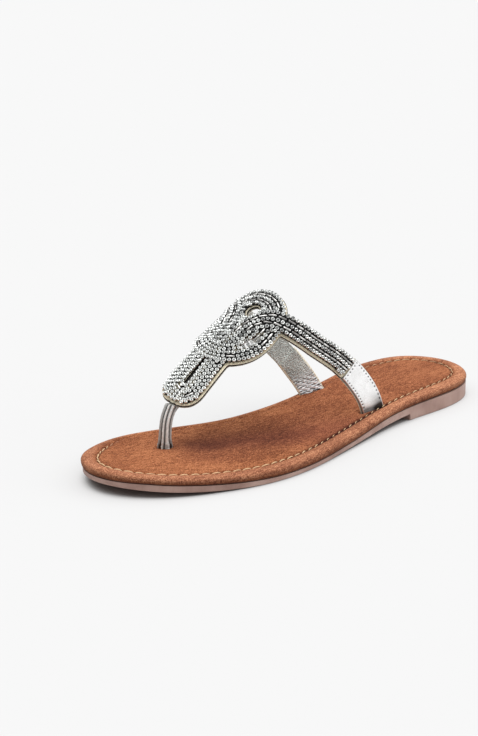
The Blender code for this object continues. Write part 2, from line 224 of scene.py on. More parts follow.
@dataclass(frozen=True)
class Last:
    """Form under the straps: a ridge from toe post to instep with an arch bent across it."""

    ridge_foot: Triple = (-69.4, 15.2, 29.2)
    ridge_top: Triple = (-5.8, 11.7, 73.8)
    ridge_swell: float = 1.8
    outer_turn: float = math.radians(82.0)
    inner_turn: float = math.radians(99.0)
    arch_reach: float = 37.0
    toe_tilt: float = math.radians(9.8)
    toe_arch: float = 0.73
    arch_full: float = 66.0
    knot_reach: float = 24.0
    arch_steps: int = 48
    probe: float = 0.05

    def axes(self) -> tuple[Array, Array, Array, float]:
        """Directions of the last: along its ridge, to its inner side and up, with the ridge's length.

        Returns:
            The three unit directions and the length.
        """
        ridge = np.array(self.ridge_top) - np.array(self.ridge_foot)
        length = float(np.linalg.norm(ridge))
        ridge = ridge / length
        side = np.array([0.0, 1.0, 0.0]) - ridge * ridge[1]
        side = side / np.linalg.norm(side)
        return ridge, side, np.cross(ridge, side), length

    def point(self, along: Array, across: Array) -> Array:
        """Points of the last.

        Args:
            along: distances along the ridge.
            across: arc lengths across it, plus to the inner side.

        Returns:
            The points in drawing millimetres.
        """
        ridge, side, up, length = self.axes()
        sign = np.where(across > 0.0, 1.0, -1.0)
        turn = np.where(across > 0.0, self.inner_turn, self.outer_turn)
        beyond = np.clip(np.abs(across) - self.knot_reach, 0.0, None)
        arch = self.toe_arch + (1.0 - self.toe_arch) * smooth((along + beyond) / self.arch_full)
        tilt = self.toe_tilt * (1.0 - smooth(along / length))
        s = np.linspace(0.0, 1.0, self.arch_steps)[:, None] * np.abs(across)[None, :]
        angle = arch * turn * smooth(s / self.arch_reach) - tilt * sign
        step = np.abs(across) / (self.arch_steps - 1.0)
        level = np.cos(angle)
        drop = np.sin(angle)
        out = (level.sum(axis=0) - 0.5 * (level[0] + level[-1])) * step * sign
        down = (drop.sum(axis=0) - 0.5 * (drop[0] + drop[-1])) * step
        lift = self.ridge_swell * np.sin(math.pi * along / length) - down
        on_ridge = np.array(self.ridge_foot) + ridge * along[:, None]
        return on_ridge + side * out[:, None] + up * lift[:, None]

    def lay(self, flat: Array) -> Array:
        """Bends flat points over the last.

        Args:
            flat: points as (across, along, height over the last).

        Returns:
            The bent points in drawing millimetres.
        """
        across = flat[:, 0]
        along = flat[:, 1]
        d = self.probe
        d_along = self.point(along + d, across) - self.point(along - d, across)
        d_across = self.point(along, across + d) - self.point(along, across - d)
        return self.point(along, across) + normalised(np.cross(d_along, d_across)) * flat[:, 2][:, None]


@dataclass(frozen=True)
class SolePlan:
    """Outline and heights of the sole, by station from the toe end."""

    length: float = 252.0
    outline: tuple[Triple, ...] = (
        # station, reach to the outer side, reach to the inner side
        (10.0, 15.4, 28.4),
        (25.0, 27.8, 38.5),
        (45.0, 37.2, 43.9),
        (70.0, 44.0, 39.4),
        (95.0, 44.2, 30.2),
        (120.0, 39.9, 26.2),
        (145.0, 35.0, 25.4),
        (170.0, 30.7, 27.8),
        (195.0, 29.3, 31.4),
        (220.0, 28.0, 32.6),
        (240.0, 20.8, 26.8),
    )
    toe_side: float = 8.0
    heel_side: float = 3.0
    edge: float = 3.3
    waist_extra: float = 0.6
    heel_seam: float = 7.9
    breast: float = 184.5
    breast_slope: float = 0.12
    toe_spring: float = 5.6
    spring_start: float = 72.0
    rise: Span = (98.0, 210.0)
    bed: float = 3.6
    heel_pad: float = 0.8
    pad: Span = (150.0, 215.0)
    waist_drop: float = 1.1
    drop_rise: Span = (20.0, 90.0)
    drop_fall: Span = (130.0, 172.0)
    toe_drop: float = 0.8
    toe_drop_end: float = 14.0
    gap: float = 0.3
    toe_cap: float = 40.0
    heel_cap: float = 32.0
    column_step: float = 1.0
    fine_points: int = 6000
    spline_steps: int = 200

    def station(self, x: Array) -> Array:
        """Distance of plan points from the toe end."""
        return x + self.length / 2.0

    def closed_curve(self, count: int) -> Array:
        """Evenly spaced points of the outline, from the toe round by the outer side.

        Args:
            count: number of points.

        Returns:
            The points, on a closed cubic spline through the table.
        """
        half = self.length / 2.0
        outer = [(s - half, -out) for s, out, _ in self.outline]
        inner = [(s - half, into) for s, _, into in reversed(self.outline)]
        p = np.array([(-half, self.toe_side)] + outer + [(half, self.heel_side)] + inner)
        after = np.roll(p, -1, axis=0)
        h = np.linalg.norm(after - p, axis=1)[:, None]
        before = np.roll(h, 1, axis=0)
        unit = np.eye(len(p))
        system = 2.0 * (before + h) * unit
        system += before * np.roll(unit, -1, axis=1) + h * np.roll(unit, 1, axis=1)
        slope = (after - p) / h
        bend = np.linalg.solve(system, 6.0 * (slope - np.roll(slope, 1, axis=0)))
        u = np.linspace(0.0, 1.0, self.spline_steps, endpoint=False)[:, None]
        w = 1.0 - u
        pieces = zip(p, after, bend, np.roll(bend, -1, axis=0), h * h / 6.0)
        ring = np.concatenate([
            w * first + u * second + size * ((w ** 3 - w) * bend_first + (u ** 3 - u) * bend_second)
            for first, second, bend_first, bend_second, size in pieces
        ])
        ring = np.vstack([ring, ring[:1]])
        run = run_length(ring)
        return read_along(ring, run, np.linspace(0.0, run[-1], count, endpoint=False))

    def drop(self, x: Array) -> Array:
        """How much the footbed gains on the outsole at the waist and at the toe end."""
        waist = eased(self.station(x), *self.drop_rise) - eased(self.station(x), *self.drop_fall)
        return self.waist_drop * waist + self.toe_drop * eased(self.station(x), self.toe_drop_end, 0.0)

    def seam(self, x: Array) -> Array:
        """Height of the seam between outsole and footbed.

        Args:
            x: places along the shoe.

        Returns:
            The heights there.
        """
        spring = self.toe_spring * np.clip(1.0 - self.station(x) / self.spring_start, 0.0, None) ** 2
        rise = (self.heel_seam - self.edge) * eased(self.station(x), *self.rise)
        return self.edge + spring + rise - self.drop(x)

    def depth(self, x: Array) -> Array:
        """Thickness of the outsole ahead of the heel."""
        waist = self.waist_extra * eased(self.station(x), self.rise[0], self.breast)
        return self.edge + waist - self.drop(x)

    def bed_thickness(self, x: Array) -> Array:
        """Thickness of the footbed, which is padded under the heel."""
        return self.bed + self.heel_pad * eased(self.station(x), *self.pad) + self.drop(x)

    def top(self, x: Array) -> Array:
        """Height of the footbed's top."""
        return self.seam(x) + self.gap + self.bed_thickness(x)


class SoleNet:
    """Columns of the sole's meshes: each runs from the outline in to the middle line."""

    def __init__(self, plan: SolePlan) -> None:
        """Lays out the columns.

        Args:
            plan: the sole's outline and heights.
        """
        self.plan = plan
        half = plan.length / 2.0
        dense = plan.closed_curve(plan.fine_points)
        toe_x = -half + plan.toe_cap
        heel_x = half - plan.heel_cap
        breast = plan.breast - half
        steps = np.linspace(toe_x, heel_x, int((heel_x - toe_x) / plan.column_step))
        steps = steps[np.abs(steps - breast) > 0.6 * plan.column_step]
        heel_step = [breast - plan.breast_slope, breast + plan.breast_slope]
        stations = np.sort(np.concatenate([steps, heel_step]))
        turn = int(np.argmax(dense[:, 0]))
        outer = dense[: turn + 1]
        inner = dense[turn:][::-1]
        outer_y = np.interp(stations, outer[:, 0], outer[:, 1])
        inner_y = np.interp(stations, inner[:, 0], inner[:, 1])
        middle = 0.5 * (outer_y + inner_y)
        heel_arc = resampled(dense[dense[:, 0] > heel_x], plan.column_step)[1:-1]
        start = int(np.argmax(dense[:, 0] > toe_x))
        toe_first = len(dense) - int(np.argmax(dense[::-1, 0] > toe_x))
        toe_arc = resampled(np.vstack([dense[toe_first:], dense[:start]]), plan.column_step)[1:-1]
        rows = (
            (np.stack([stations, outer_y], axis=1), np.stack([stations, middle], axis=1)),
            (heel_arc, np.repeat([[heel_x, middle[-1]]], len(heel_arc), axis=0)),
            (np.stack([stations, inner_y], axis=1)[::-1], np.stack([stations, middle], axis=1)[::-1]),
            (toe_arc, np.repeat([[toe_x, middle[0]]], len(toe_arc), axis=0)),
        )
        self.rim = np.vstack([row[0] for row in rows])
        self.middle = np.vstack([row[1] for row in rows])
        along = headings(self.rim, True)
        self.inward = np.stack([-along[:, 1], along[:, 0]], axis=1)
        self.is_heel = self.rim[:, 0] > breast

    def ring(self, inset: Array | float) -> Array:
        """Outline moved in by a distance, the same all round or one for each column."""
        return self.rim + np.broadcast_to(inset, len(self.rim))[:, None] * self.inward

    def towards_middle(self, inset: Array | float, share: float) -> Array:
        """Points at a share of the way from the outline, moved in by inset, to the middle line."""
        return self.ring(inset) * (1.0 - share) + self.middle * share


@dataclass(frozen=True)
class StrapLine:
    """Middle lines and widths of the two straps in the flat."""

    line: tuple[Triple, ...] = (
        # distance across, outer strap along, inner strap along
        (12.0, 62.5, 62.5),
        (22.0, 66.0, 66.0),
        (40.0, 72.0, 70.4),
        (60.0, 78.4, 74.6),
        (74.0, 80.4, 75.6),
        (86.0, 80.0, 75.6),
        (98.0, 76.4, 74.2),
        (120.0, 66.0, 68.0),
    )
    width: tuple[Span, ...] = (
        # distance across, half width
        (12.0, 6.0),
        (68.0, 6.7),
        (98.0, 7.0),
        (120.0, 7.0),
    )
    probe: float = 0.1

    def middle(self, side: Side, at: Array) -> Array:
        """Middle of a strap at distances across."""
        table = np.array(self.line)
        return hermite(table[:, 0], table[:, 2 if side is Side.INNER else 1], at)

    def slope(self, side: Side, at: Array) -> Array:
        """Slope of a strap's middle line at distances across."""
        d = self.probe
        return (self.middle(side, at + d) - self.middle(side, at - d)) / (2.0 * d)

    def half(self, at: Array) -> Array:
        """Half width of a strap at distances across."""
        table = np.array(self.width)
        return np.interp(at, table[:, 0], table[:, 1])

    def strip(self, side: Side, at: Array, share: Array) -> Array:
        """Flat points of a strap.

        Args:
            side: which strap.
            at: distances across.
            share: places over the width, from -1 at the toe edge to 1 at the heel edge.

        Returns:
            One flat (across, along) point for each pair.
        """
        slope = self.slope(side, at)
        off = share * self.half(at) / np.sqrt(1.0 + slope * slope)
        return np.stack([side.value * (at - off * slope), self.middle(side, at) + off], axis=1)


@dataclass(frozen=True)
class Mesh:
    """Points in drawing millimetres and the faces between them."""

    points: Array
    faces: list[list[int]]
    traits: dict[str, Array] = field(default_factory=dict)


def lofted(rings: Sequence[Array], closed_rings: bool, fill_ends: bool) -> Mesh:
    """Skin over rings of points.

    Args:
        rings: rings of equal length.
        closed_rings: whether each ring meets itself.
        fill_ends: whether the first and last ring are closed with a face.

    Returns:
        The skin.
    """
    count = len(rings[0])
    faces: list[list[int]] = []
    for i in range(len(rings) - 1):
        for j in range(count if closed_rings else count - 1):
            k = (j + 1) % count
            faces.append([i * count + j, i * count + k, (i + 1) * count + k, (i + 1) * count + j])
    if fill_ends:
        last = (len(rings) - 1) * count
        faces.append(list(range(count))[::-1])
        faces.append(list(range(last, last + count)))
    return Mesh(np.vstack(rings), faces)


def repeated(
    shape: Mesh, origins: Array, axes: tuple[Array, Array, Array], sizes: Array, tones: Array
) -> Mesh:
    """Copies of a small shape, each in its own place.

    Args:
        shape: the shape, in its own axes.
        origins: places of the copies.
        axes: directions of the shape's three axes at each place.
        sizes: scales along the three axes at each place.
        tones: one value from 0 to 1 for each copy, kept as the trait named tone.

    Returns:
        All copies as one mesh.
    """
    local = shape.points[None, :, :] * sizes[:, None, :]
    points = origins[:, None, :] + sum(local[:, :, i : i + 1] * axes[i][:, None, :] for i in range(3))
    count = len(shape.points)
    faces = [[v + n * count for v in face] for n in range(len(origins)) for face in shape.faces]
    return Mesh(points.reshape(-1, 3), faces, {"tone": np.repeat(tones, count)})


class NodeTree:
    """Nodes of a material or of the world under construction."""

    def __init__(self, owner: bpy.types.ID) -> None:
        """Starts on the nodes of a material or a world."""
        owner.use_nodes = True
        self.tree = owner.node_tree

    def node(self, kind: str, **settings: object) -> bpy.types.Node:
        """Adds a node.

        Args:
            kind: the node's type.
            settings: its settings by name.

        Returns:
            The new node.
        """
        made = self.tree.nodes.new(kind)
        for key, value in settings.items():
            setattr(made, key, value)
        return made

    def feed(self, socket: Socket, value: object) -> None:
        """Gives a socket a link or a plain value.

        Args:
            socket: the socket to feed.
            value: another socket, or a number or colour.
        """
        if isinstance(value, bpy.types.NodeSocket):
            self.tree.links.new(value, socket)
        else:
            socket.default_value = value

    def sum(self, *terms: tuple[Socket, float]) -> Socket:
        """Weighted sum of sockets.

        Args:
            terms: pairs of a socket and its weight.

        Returns:
            The sum.
        """
        total: Socket | None = None
        for socket, weight in terms:
            step = self.node("ShaderNodeMath", operation="MULTIPLY_ADD")
            self.feed(step.inputs[0], socket)
            step.inputs[1].default_value = weight
            self.feed(step.inputs[2], 0.0 if total is None else total)
            total = step.outputs[0]
        return total

    def spread(
        self, value: Socket, span: Span, target: Span, falloff: Falloff = Falloff.STRAIGHT
    ) -> Socket:
        """Value moved from one range to another, held at its ends.

        Args:
            value: the value.
            span: start and end of its range.
            target: what the start and the end become.
            falloff: how it goes from the one to the other.

        Returns:
            The moved value.
        """
        made = self.node("ShaderNodeMapRange", interpolation_type=falloff.value)
        for socket, number in zip(list(made.inputs)[1:5], (*span, *target)):
            socket.default_value = number
        self.feed(made.inputs["Value"], value)
        return made.outputs["Result"]


class Shade(NodeTree):
    """A Principled material under construction."""

    def __init__(self, name: str) -> None:
        """Starts a material.

        Args:
            name: the material's name.
        """
        self.material = bpy.data.materials.new(name)
        super().__init__(self.material)
        self.shader = self.tree.nodes["Principled BSDF"]

    def place(self, stretch: Sequence[float] = (1.0, 1.0, 1.0), turn: float = 0.0) -> Socket:
        """Coordinates of the shoe in millimetres.

        Args:
            stretch: factors along the three axes, so that 0.2 draws a pattern out five times.
            turn: rotation about the upright axis.

        Returns:
            The coordinate socket.
        """
        where = self.node("ShaderNodeTexCoord").outputs["Object"]
        mapping = self.node("ShaderNodeMapping")
        mapping.inputs["Scale"].default_value = [s / MM for s in stretch]
        mapping.inputs["Rotation"].default_value = (0.0, 0.0, turn)
        self.feed(mapping.inputs["Vector"], where)
        return mapping.outputs["Vector"]

    def noise(self, where: Socket, size: float, detail: float = 3.0, rough: float = 0.55) -> Socket:
        """Noise with features of a size in millimetres.

        Args:
            where: coordinates in millimetres.
            size: size of the features.
            detail: number of finer layers.
            rough: strength of the finer layers.

        Returns:
            The noise, about 0.5 on average.
        """
        made = self.node("ShaderNodeTexNoise")
        made.inputs["Scale"].default_value = 1.0 / size
        made.inputs["Detail"].default_value = detail
        made.inputs["Roughness"].default_value = rough
        self.feed(made.inputs["Vector"], where)
        return made.outputs["Fac"]

    def grains(self, where: Socket, size: float) -> Socket:
        """Distance to the nearest of scattered points, for leather grain.

        Args:
            where: coordinates in millimetres.
            size: usual distance between the points.

        Returns:
            The distance, against that size.
        """
        made = self.node("ShaderNodeTexVoronoi")
        made.inputs["Scale"].default_value = 1.0 / size
        self.feed(made.inputs["Vector"], where)
        return made.outputs["Distance"]

    def trait(self, name: str) -> Socket:
        """Value that the mesh carries under a name."""
        return self.node("ShaderNodeAttribute", attribute_name=name).outputs["Fac"]

    def ramp(self, value: Socket, stops: Sequence[tuple[float, Colour]]) -> Socket:
        """Colours between stops.

        Args:
            value: place on the ramp.
            stops: places and their colours.

        Returns:
            The colour socket.
        """
        made = self.node("ShaderNodeValToRGB")
        ramp = made.color_ramp
        while len(ramp.elements) < len(stops):
            ramp.elements.new(0.5)
        for element, (at, colour) in zip(ramp.elements, stops):
            element.position = at
            element.color = (*colour, 1.0)
        self.feed(made.inputs["Fac"], value)
        return made.outputs["Color"]

    def blend(self, share: Socket, first: object, second: object) -> Socket:
        """Colour between two.

        Args:
            share: 0 for the first and 1 for the second.
            first: colour or socket.
            second: colour or socket.

        Returns:
            The mixed colour.
        """
        made = self.node("ShaderNodeMix", data_type="RGBA")
        self.feed(made.inputs["Factor"], share)
        for name, colour in (("A", first), ("B", second)):
            socket = [s for s in made.inputs if s.name == name and s.type == "RGBA"][0]
            self.feed(socket, (*colour, 1.0) if isinstance(colour, tuple) else colour)
        return [s for s in made.outputs if s.type == "RGBA"][0]

    def bumps(self, *layers: tuple[Socket, float]) -> None:
        """Adds relief.

        Args:
            layers: pairs of a height socket and its height in millimetres.
        """
        normal: Socket | None = None
        for height, size in layers:
            made = self.node("ShaderNodeBump")
            made.inputs["Strength"].default_value = 1.0
            made.inputs["Distance"].default_value = size * MM
            self.feed(made.inputs["Height"], height)
            if normal is not None:
                self.feed(made.inputs["Normal"], normal)
            normal = made.outputs["Normal"]
        self.feed(self.shader.inputs["Normal"], normal)

    def set(self, **values: object) -> None:
        """Sets shader sockets.

        Args:
            values: plain values or sockets by the socket's name, with _ for a space.
        """
        for key, value in values.items():
            name = key.replace("_", " ").title().replace("Ior", "IOR")
            self.feed(self.shader.inputs[name], (*value, 1.0) if isinstance(value, tuple) else value)


@dataclass(frozen=True)
class SuedeFinish:
    """Brushed tan suede with a mottled nap."""

    name: str = "suede_nap"
    body: tuple[Colour, Colour, Colour] = (srgb(96, 50, 30), srgb(147, 86, 54), srgb(196, 130, 88))
    # Shaded suede colours: painted shade under the strap panel and the painted shadow of the straps and
    # knot, with a darkening towards the heel.
    shaded_suede: tuple[Colour, Colour, Colour] = (srgb(70, 33, 24), srgb(112, 57, 41), srgb(156, 92, 66))
    # Golden rim colours: partly the rolled edge's own lighter suede, partly a painted highlight where the
    # roll catches the light.
    gold_and_highlight: tuple[Colour, Colour, Colour] = (srgb(106, 60, 43), srgb(159, 102, 74), srgb(206, 147, 111))
    # Painted shade colour, for the stitch groove, the slots and the foot and underside of the rolled edge.
    painted_shade: Colour = srgb(52, 22, 18)
    stops: Triple = (0.57, 0.7, 0.83)
    sheen: float = 0.1
    sheen_tint: Colour = srgb(235, 180, 140)

    def material(self) -> bpy.types.Material:
        """Makes the material.

        Returns:
            The new material.
        """
        shade = Shade(self.name)
        where = shade.place()
        brushed = shade.place((0.35, 1.0, 1.0), math.radians(18.0))
        nap = shade.noise(where, 0.56, 1.5, 0.6)
        tufts = shade.noise(brushed, 1.2, 3.0, 0.6)
        patches = shade.noise(brushed, 9.0, 3.0)
        cloud = shade.noise(where, 34.0, 2.0)
        tone = shade.sum((nap, 0.7), (tufts, 0.36), (patches, 0.18), (cloud, 0.16))
        tones = (self.body, self.shaded_suede, self.gold_and_highlight)
        body, shaded_suede, gold_and_highlight = [shade.ramp(tone, tuple(zip(self.stops, colours))) for colours in tones]
        # Painted shade and shadow darken the suede; the rim takes the golden colours, partly a painted
        # highlight.
        colour = shade.blend(shade.trait("shaded_suede"), body, shaded_suede)
        colour = shade.blend(shade.trait("rim"), colour, gold_and_highlight)
        shade.set(base_color=shade.blend(shade.trait("painted_shade"), colour, self.painted_shade))
        shade.set(roughness=0.92, specular_ior_level=0.15)
        shade.set(sheen_weight=self.sheen, sheen_roughness=0.45, sheen_tint=self.sheen_tint)
        shade.bumps((tufts, 0.22), (nap, 0.2))
        return shade.material


@dataclass(frozen=True)
class RubberFinish:
    """Smooth pinkish-brown sole with faint drawn marks on its edge."""

    name: str = "sole_rubber"
    deep: Colour = srgb(134, 103, 93)
    body: Colour = srgb(163, 132, 121)
    pale: Colour = srgb(184, 157, 146)
    gloss: Span = (0.42, 0.6)

    def material(self) -> bpy.types.Material:
        """Makes the material.

        Returns:
            The new material.
        """
        shade = Shade(self.name)
        drawn = shade.place((1.0, 1.0, 0.22), math.radians(30.0))
        streaks = shade.noise(drawn, 1.3, 4.0, 0.6)
        clouds = shade.noise(shade.place(), 16.0, 2.0)
        pores = shade.noise(shade.place(), 0.35, 2.0)
        tone = shade.sum((streaks, 0.2), (clouds, 0.8))
        colour = shade.ramp(tone, ((0.3, self.deep), (0.5, self.body), (0.72, self.pale)))
        shade.set(base_color=colour, specular_ior_level=0.4)
        shade.set(roughness=shade.spread(streaks, (0.3, 0.7), self.gloss))
        shade.bumps((streaks, 0.06), (pores, 0.03))
        return shade.material


@dataclass(frozen=True)
class FoilLeatherFinish:
    """Leather with a silver foil face, creased finely."""

    name: str
    dull: Colour
    bright: Colour
    metal: float
    gloss: Span
    grain: float
    crease: float
    relief: float = 1.0
    # Painted shade colour, for creases, dimples, clefts, the tabs' feet and the post's folds.
    painted_shade: Colour = srgb(30, 28, 26)
    edge: Colour = srgb(232, 225, 203)
    # Bright colour for the lining's foot: partly bare foil, partly a painted highlight on its crinkles.
    bare_and_glint: Colour = srgb(250, 252, 255)

    def material(self) -> bpy.types.Material:
        """Makes the material.

        Returns:
            The new material.
        """
        shade = Shade(self.name)
        where = shade.place()
        grains = shade.grains(where, self.grain)
        creases = shade.noise(where, self.crease, 4.0, 0.6)
        cloud = shade.noise(where, 9.0, 3.0)
        tone = shade.sum((grains, 0.35), (creases, 0.45), (cloud, 0.45))
        colour = shade.ramp(tone, ((0.3, self.dull), (0.75, self.bright)))
        # The painted highlight at the lining's foot and the painted shade are blended into the colour
        # here.
        colour = shade.blend(shade.trait("bare_and_glint"), colour, self.bare_and_glint)
        colour = shade.blend(shade.trait("edge"), colour, self.edge)
        shade.set(base_color=shade.blend(shade.trait("painted_shade"), colour, self.painted_shade))
        # No metal on the cream edges, nor where shade is painted.
        foilless = shade.sum((shade.trait("edge"), 1.0), (shade.trait("painted_shade"), 1.0))
        shade.set(metallic=shade.spread(foilless, (0.0, 1.0), (self.metal, 0.0)))
        shade.set(roughness=shade.spread(creases, (0.3, 0.7), self.gloss))
        shade.bumps((creases, 0.12 * self.relief), (grains, 0.08 * self.relief))
        return shade.material


@dataclass(frozen=True)
class BeadFinish:
    """Silvered glass, a little darker or brighter from bead to bead."""

    name: str
    dark: Colour
    bright: Colour
    gloss: float

    def material(self) -> bpy.types.Material:
        """Makes the material.

        Returns:
            The new material.
        """
        shade = Shade(self.name)
        tarnish = shade.noise(shade.place(), 1.1, 2.0)
        tone = shade.sum((shade.trait("tone"), 0.7), (tarnish, 0.5))
        shade.set(base_color=shade.ramp(tone, ((0.15, self.dark), (0.85, self.bright))), metallic=1.0)
        shade.set(roughness=self.gloss)
        shade.bumps((tarnish, 0.05))
        return shade.material


@dataclass(frozen=True)
class ThreadFinish:
    """Twisted sewing thread."""

    name: str
    dark: Colour
    pale: Colour
    rough: float = 0.7

    def material(self) -> bpy.types.Material:
        """Makes the material.

        Returns:
            The new material.
        """
        shade = Shade(self.name)
        twist = shade.noise(shade.place((1.0, 1.0, 1.0), math.radians(40.0)), 0.4, 2.0)
        tone = shade.sum((twist, 0.5), (shade.trait("tone"), 0.5))
        shade.set(base_color=shade.ramp(tone, ((0.3, self.dark), (0.65, self.pale))), roughness=self.rough)
        shade.bumps((twist, 0.15))
        return shade.material


Finish = SuedeFinish | RubberFinish | FoilLeatherFinish | BeadFinish | ThreadFinish

SUEDE = SuedeFinish()
RUBBER = RubberFinish()
TAB_FOIL = FoilLeatherFinish(
    "tab_foil", srgb(220, 219, 217), srgb(250, 250, 250),
    metal=0.8, gloss=(0.26, 0.36), grain=0.5, crease=3.4, relief=0.35,
)
POST_FOIL = FoilLeatherFinish(
    "post_foil", srgb(226, 225, 220), srgb(255, 255, 252),
    metal=0.12, gloss=(0.2, 0.32), grain=0.5, crease=1.6, relief=0.6,
)
FACE_FOIL = FoilLeatherFinish(
    "face_leather", srgb(150, 138, 110), srgb(214, 204, 178),
    metal=0.35, gloss=(0.36, 0.5), grain=0.4, crease=1.4,
)
LINING = FoilLeatherFinish(
    "pewter_lining", srgb(50, 54, 52), srgb(200, 205, 200),
    metal=0.3, gloss=(0.34, 0.48), grain=0.7, crease=1.0, relief=3.4,
)
# Near-black bed: the dark backing under the beads, and painted shade in the gaps between them.
DARK_BED_AND_SHADE = ThreadFinish("bead_bed", srgb(14, 13, 13), srgb(40, 38, 36), 0.9)
SEED_SILVER = BeadFinish("seed_silver", srgb(128, 129, 128), srgb(244, 246, 244), 0.15)
BUGLE_SILVER = BeadFinish("bugle_silver", srgb(118, 116, 114), srgb(222, 221, 218), 0.2)
CREAM_THREAD = ThreadFinish("cream_thread", srgb(146, 88, 56), srgb(220, 184, 140))
GREY_THREAD = ThreadFinish("grey_thread", srgb(26, 25, 24), srgb(62, 60, 57))


@dataclass
class SubAssembly:
    """Pieces of the shoe that are made together."""

    made: list[bpy.types.Object] = field(default_factory=list, init=False)

    def keep(self, name: str, mesh: Mesh, finish: Finish, slot: Slot, *nodes: str) -> bpy.types.Object:
        """Makes a piece and sets it on the shoe.

        Args:
            name: the piece's name.
            mesh: its points and faces.
            finish: its finish.
            slot: not used.
            nodes: nodes that it stands for.

        Returns:
            The new object.
        """
        data = bpy.data.meshes.new(name)
        data.from_pydata(placed(mesh.points).tolist(), [], mesh.faces)
        for trait, values in mesh.traits.items():
            stored = data.attributes.new(trait, "FLOAT", "POINT")
            stored.data.foreach_set("value", np.asarray(values, np.float32))
        shape = bmesh.new()
        shape.from_mesh(data)
        bmesh.ops.remove_doubles(shape, verts=shape.verts, dist=1e-7)
        bmesh.ops.recalc_face_normals(shape, faces=shape.faces)
        shape.to_mesh(data)
        shape.free()
        data.shade_smooth()
        data.set_sharp_from_angle(angle=SHARP_ANGLE)
        data.materials.append(bpy.data.materials.get(finish.name) or finish.material())
        piece = bpy.data.objects.new(name, data)
        bpy.context.scene.collection.objects.link(piece)
        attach(piece, BODY)
        if nodes:
            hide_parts(*nodes)
        self.made.append(piece)
        log.info("%s: %d faces", name, len(data.polygons))
        return piece


@dataclass
class Outsole(SubAssembly):
    """Outsole and heel in one, set in a little under the footbed."""

    net: SoleNet
    front_inset: float = 0.8
    heel_inset: float = 0.2
    heel_run: float = 30.0
    rim_round: float = 0.5
    crease_inset: float = 3.0

    def bottom(self, x: Array) -> Array:
        """Height of the underside at plan points, with the step at the heel breast."""
        plan = self.net.plan
        return np.where(self.net.is_heel, 0.0, plan.seam(x) - plan.depth(x))

    def build(self) -> None:
        """Makes the sole's skin from its top round the edge to its underside."""
        plan = self.net.plan
        heel = smooth((self.net.rim[:, 0] + plan.length / 2.0 - plan.breast) / self.heel_run)
        inset = self.front_inset + (self.heel_inset - self.front_inset) * heel
        rings = []

        def add(flat: Array, share: float) -> None:
            """Adds a ring.

            Args:
                flat: plan points of the ring.
                share: its height, from 0 at the underside to 1 at the seam.
            """
            low = self.bottom(flat[:, 0])
            high = plan.seam(flat[:, 0])
            rings.append(np.column_stack([flat, low + (high - low) * share]))

        for share in (1.0, 0.6, 0.3, 0.0):
            add(self.net.towards_middle(self.crease_inset, share), 1.0)
        for share in (1.0, 0.75, 0.5, 0.25):
            add(self.net.ring(inset), share)
        for angle in np.radians([0.0, 30.0, 60.0, 90.0]):
            flat = self.net.ring(inset + self.rim_round * (1.0 - math.cos(angle)))
            low = self.bottom(flat[:, 0])
            rings.append(np.column_stack([flat, low + self.rim_round * (1.0 - math.sin(angle))]))
        for share in (0.0, 0.3, 0.6, 1.0):
            add(self.net.towards_middle(self.crease_inset, share), 0.0)
        self.keep("outsole_sheet", lofted(rings, True, False), RUBBER, Slot.RUBBER, "outsole")


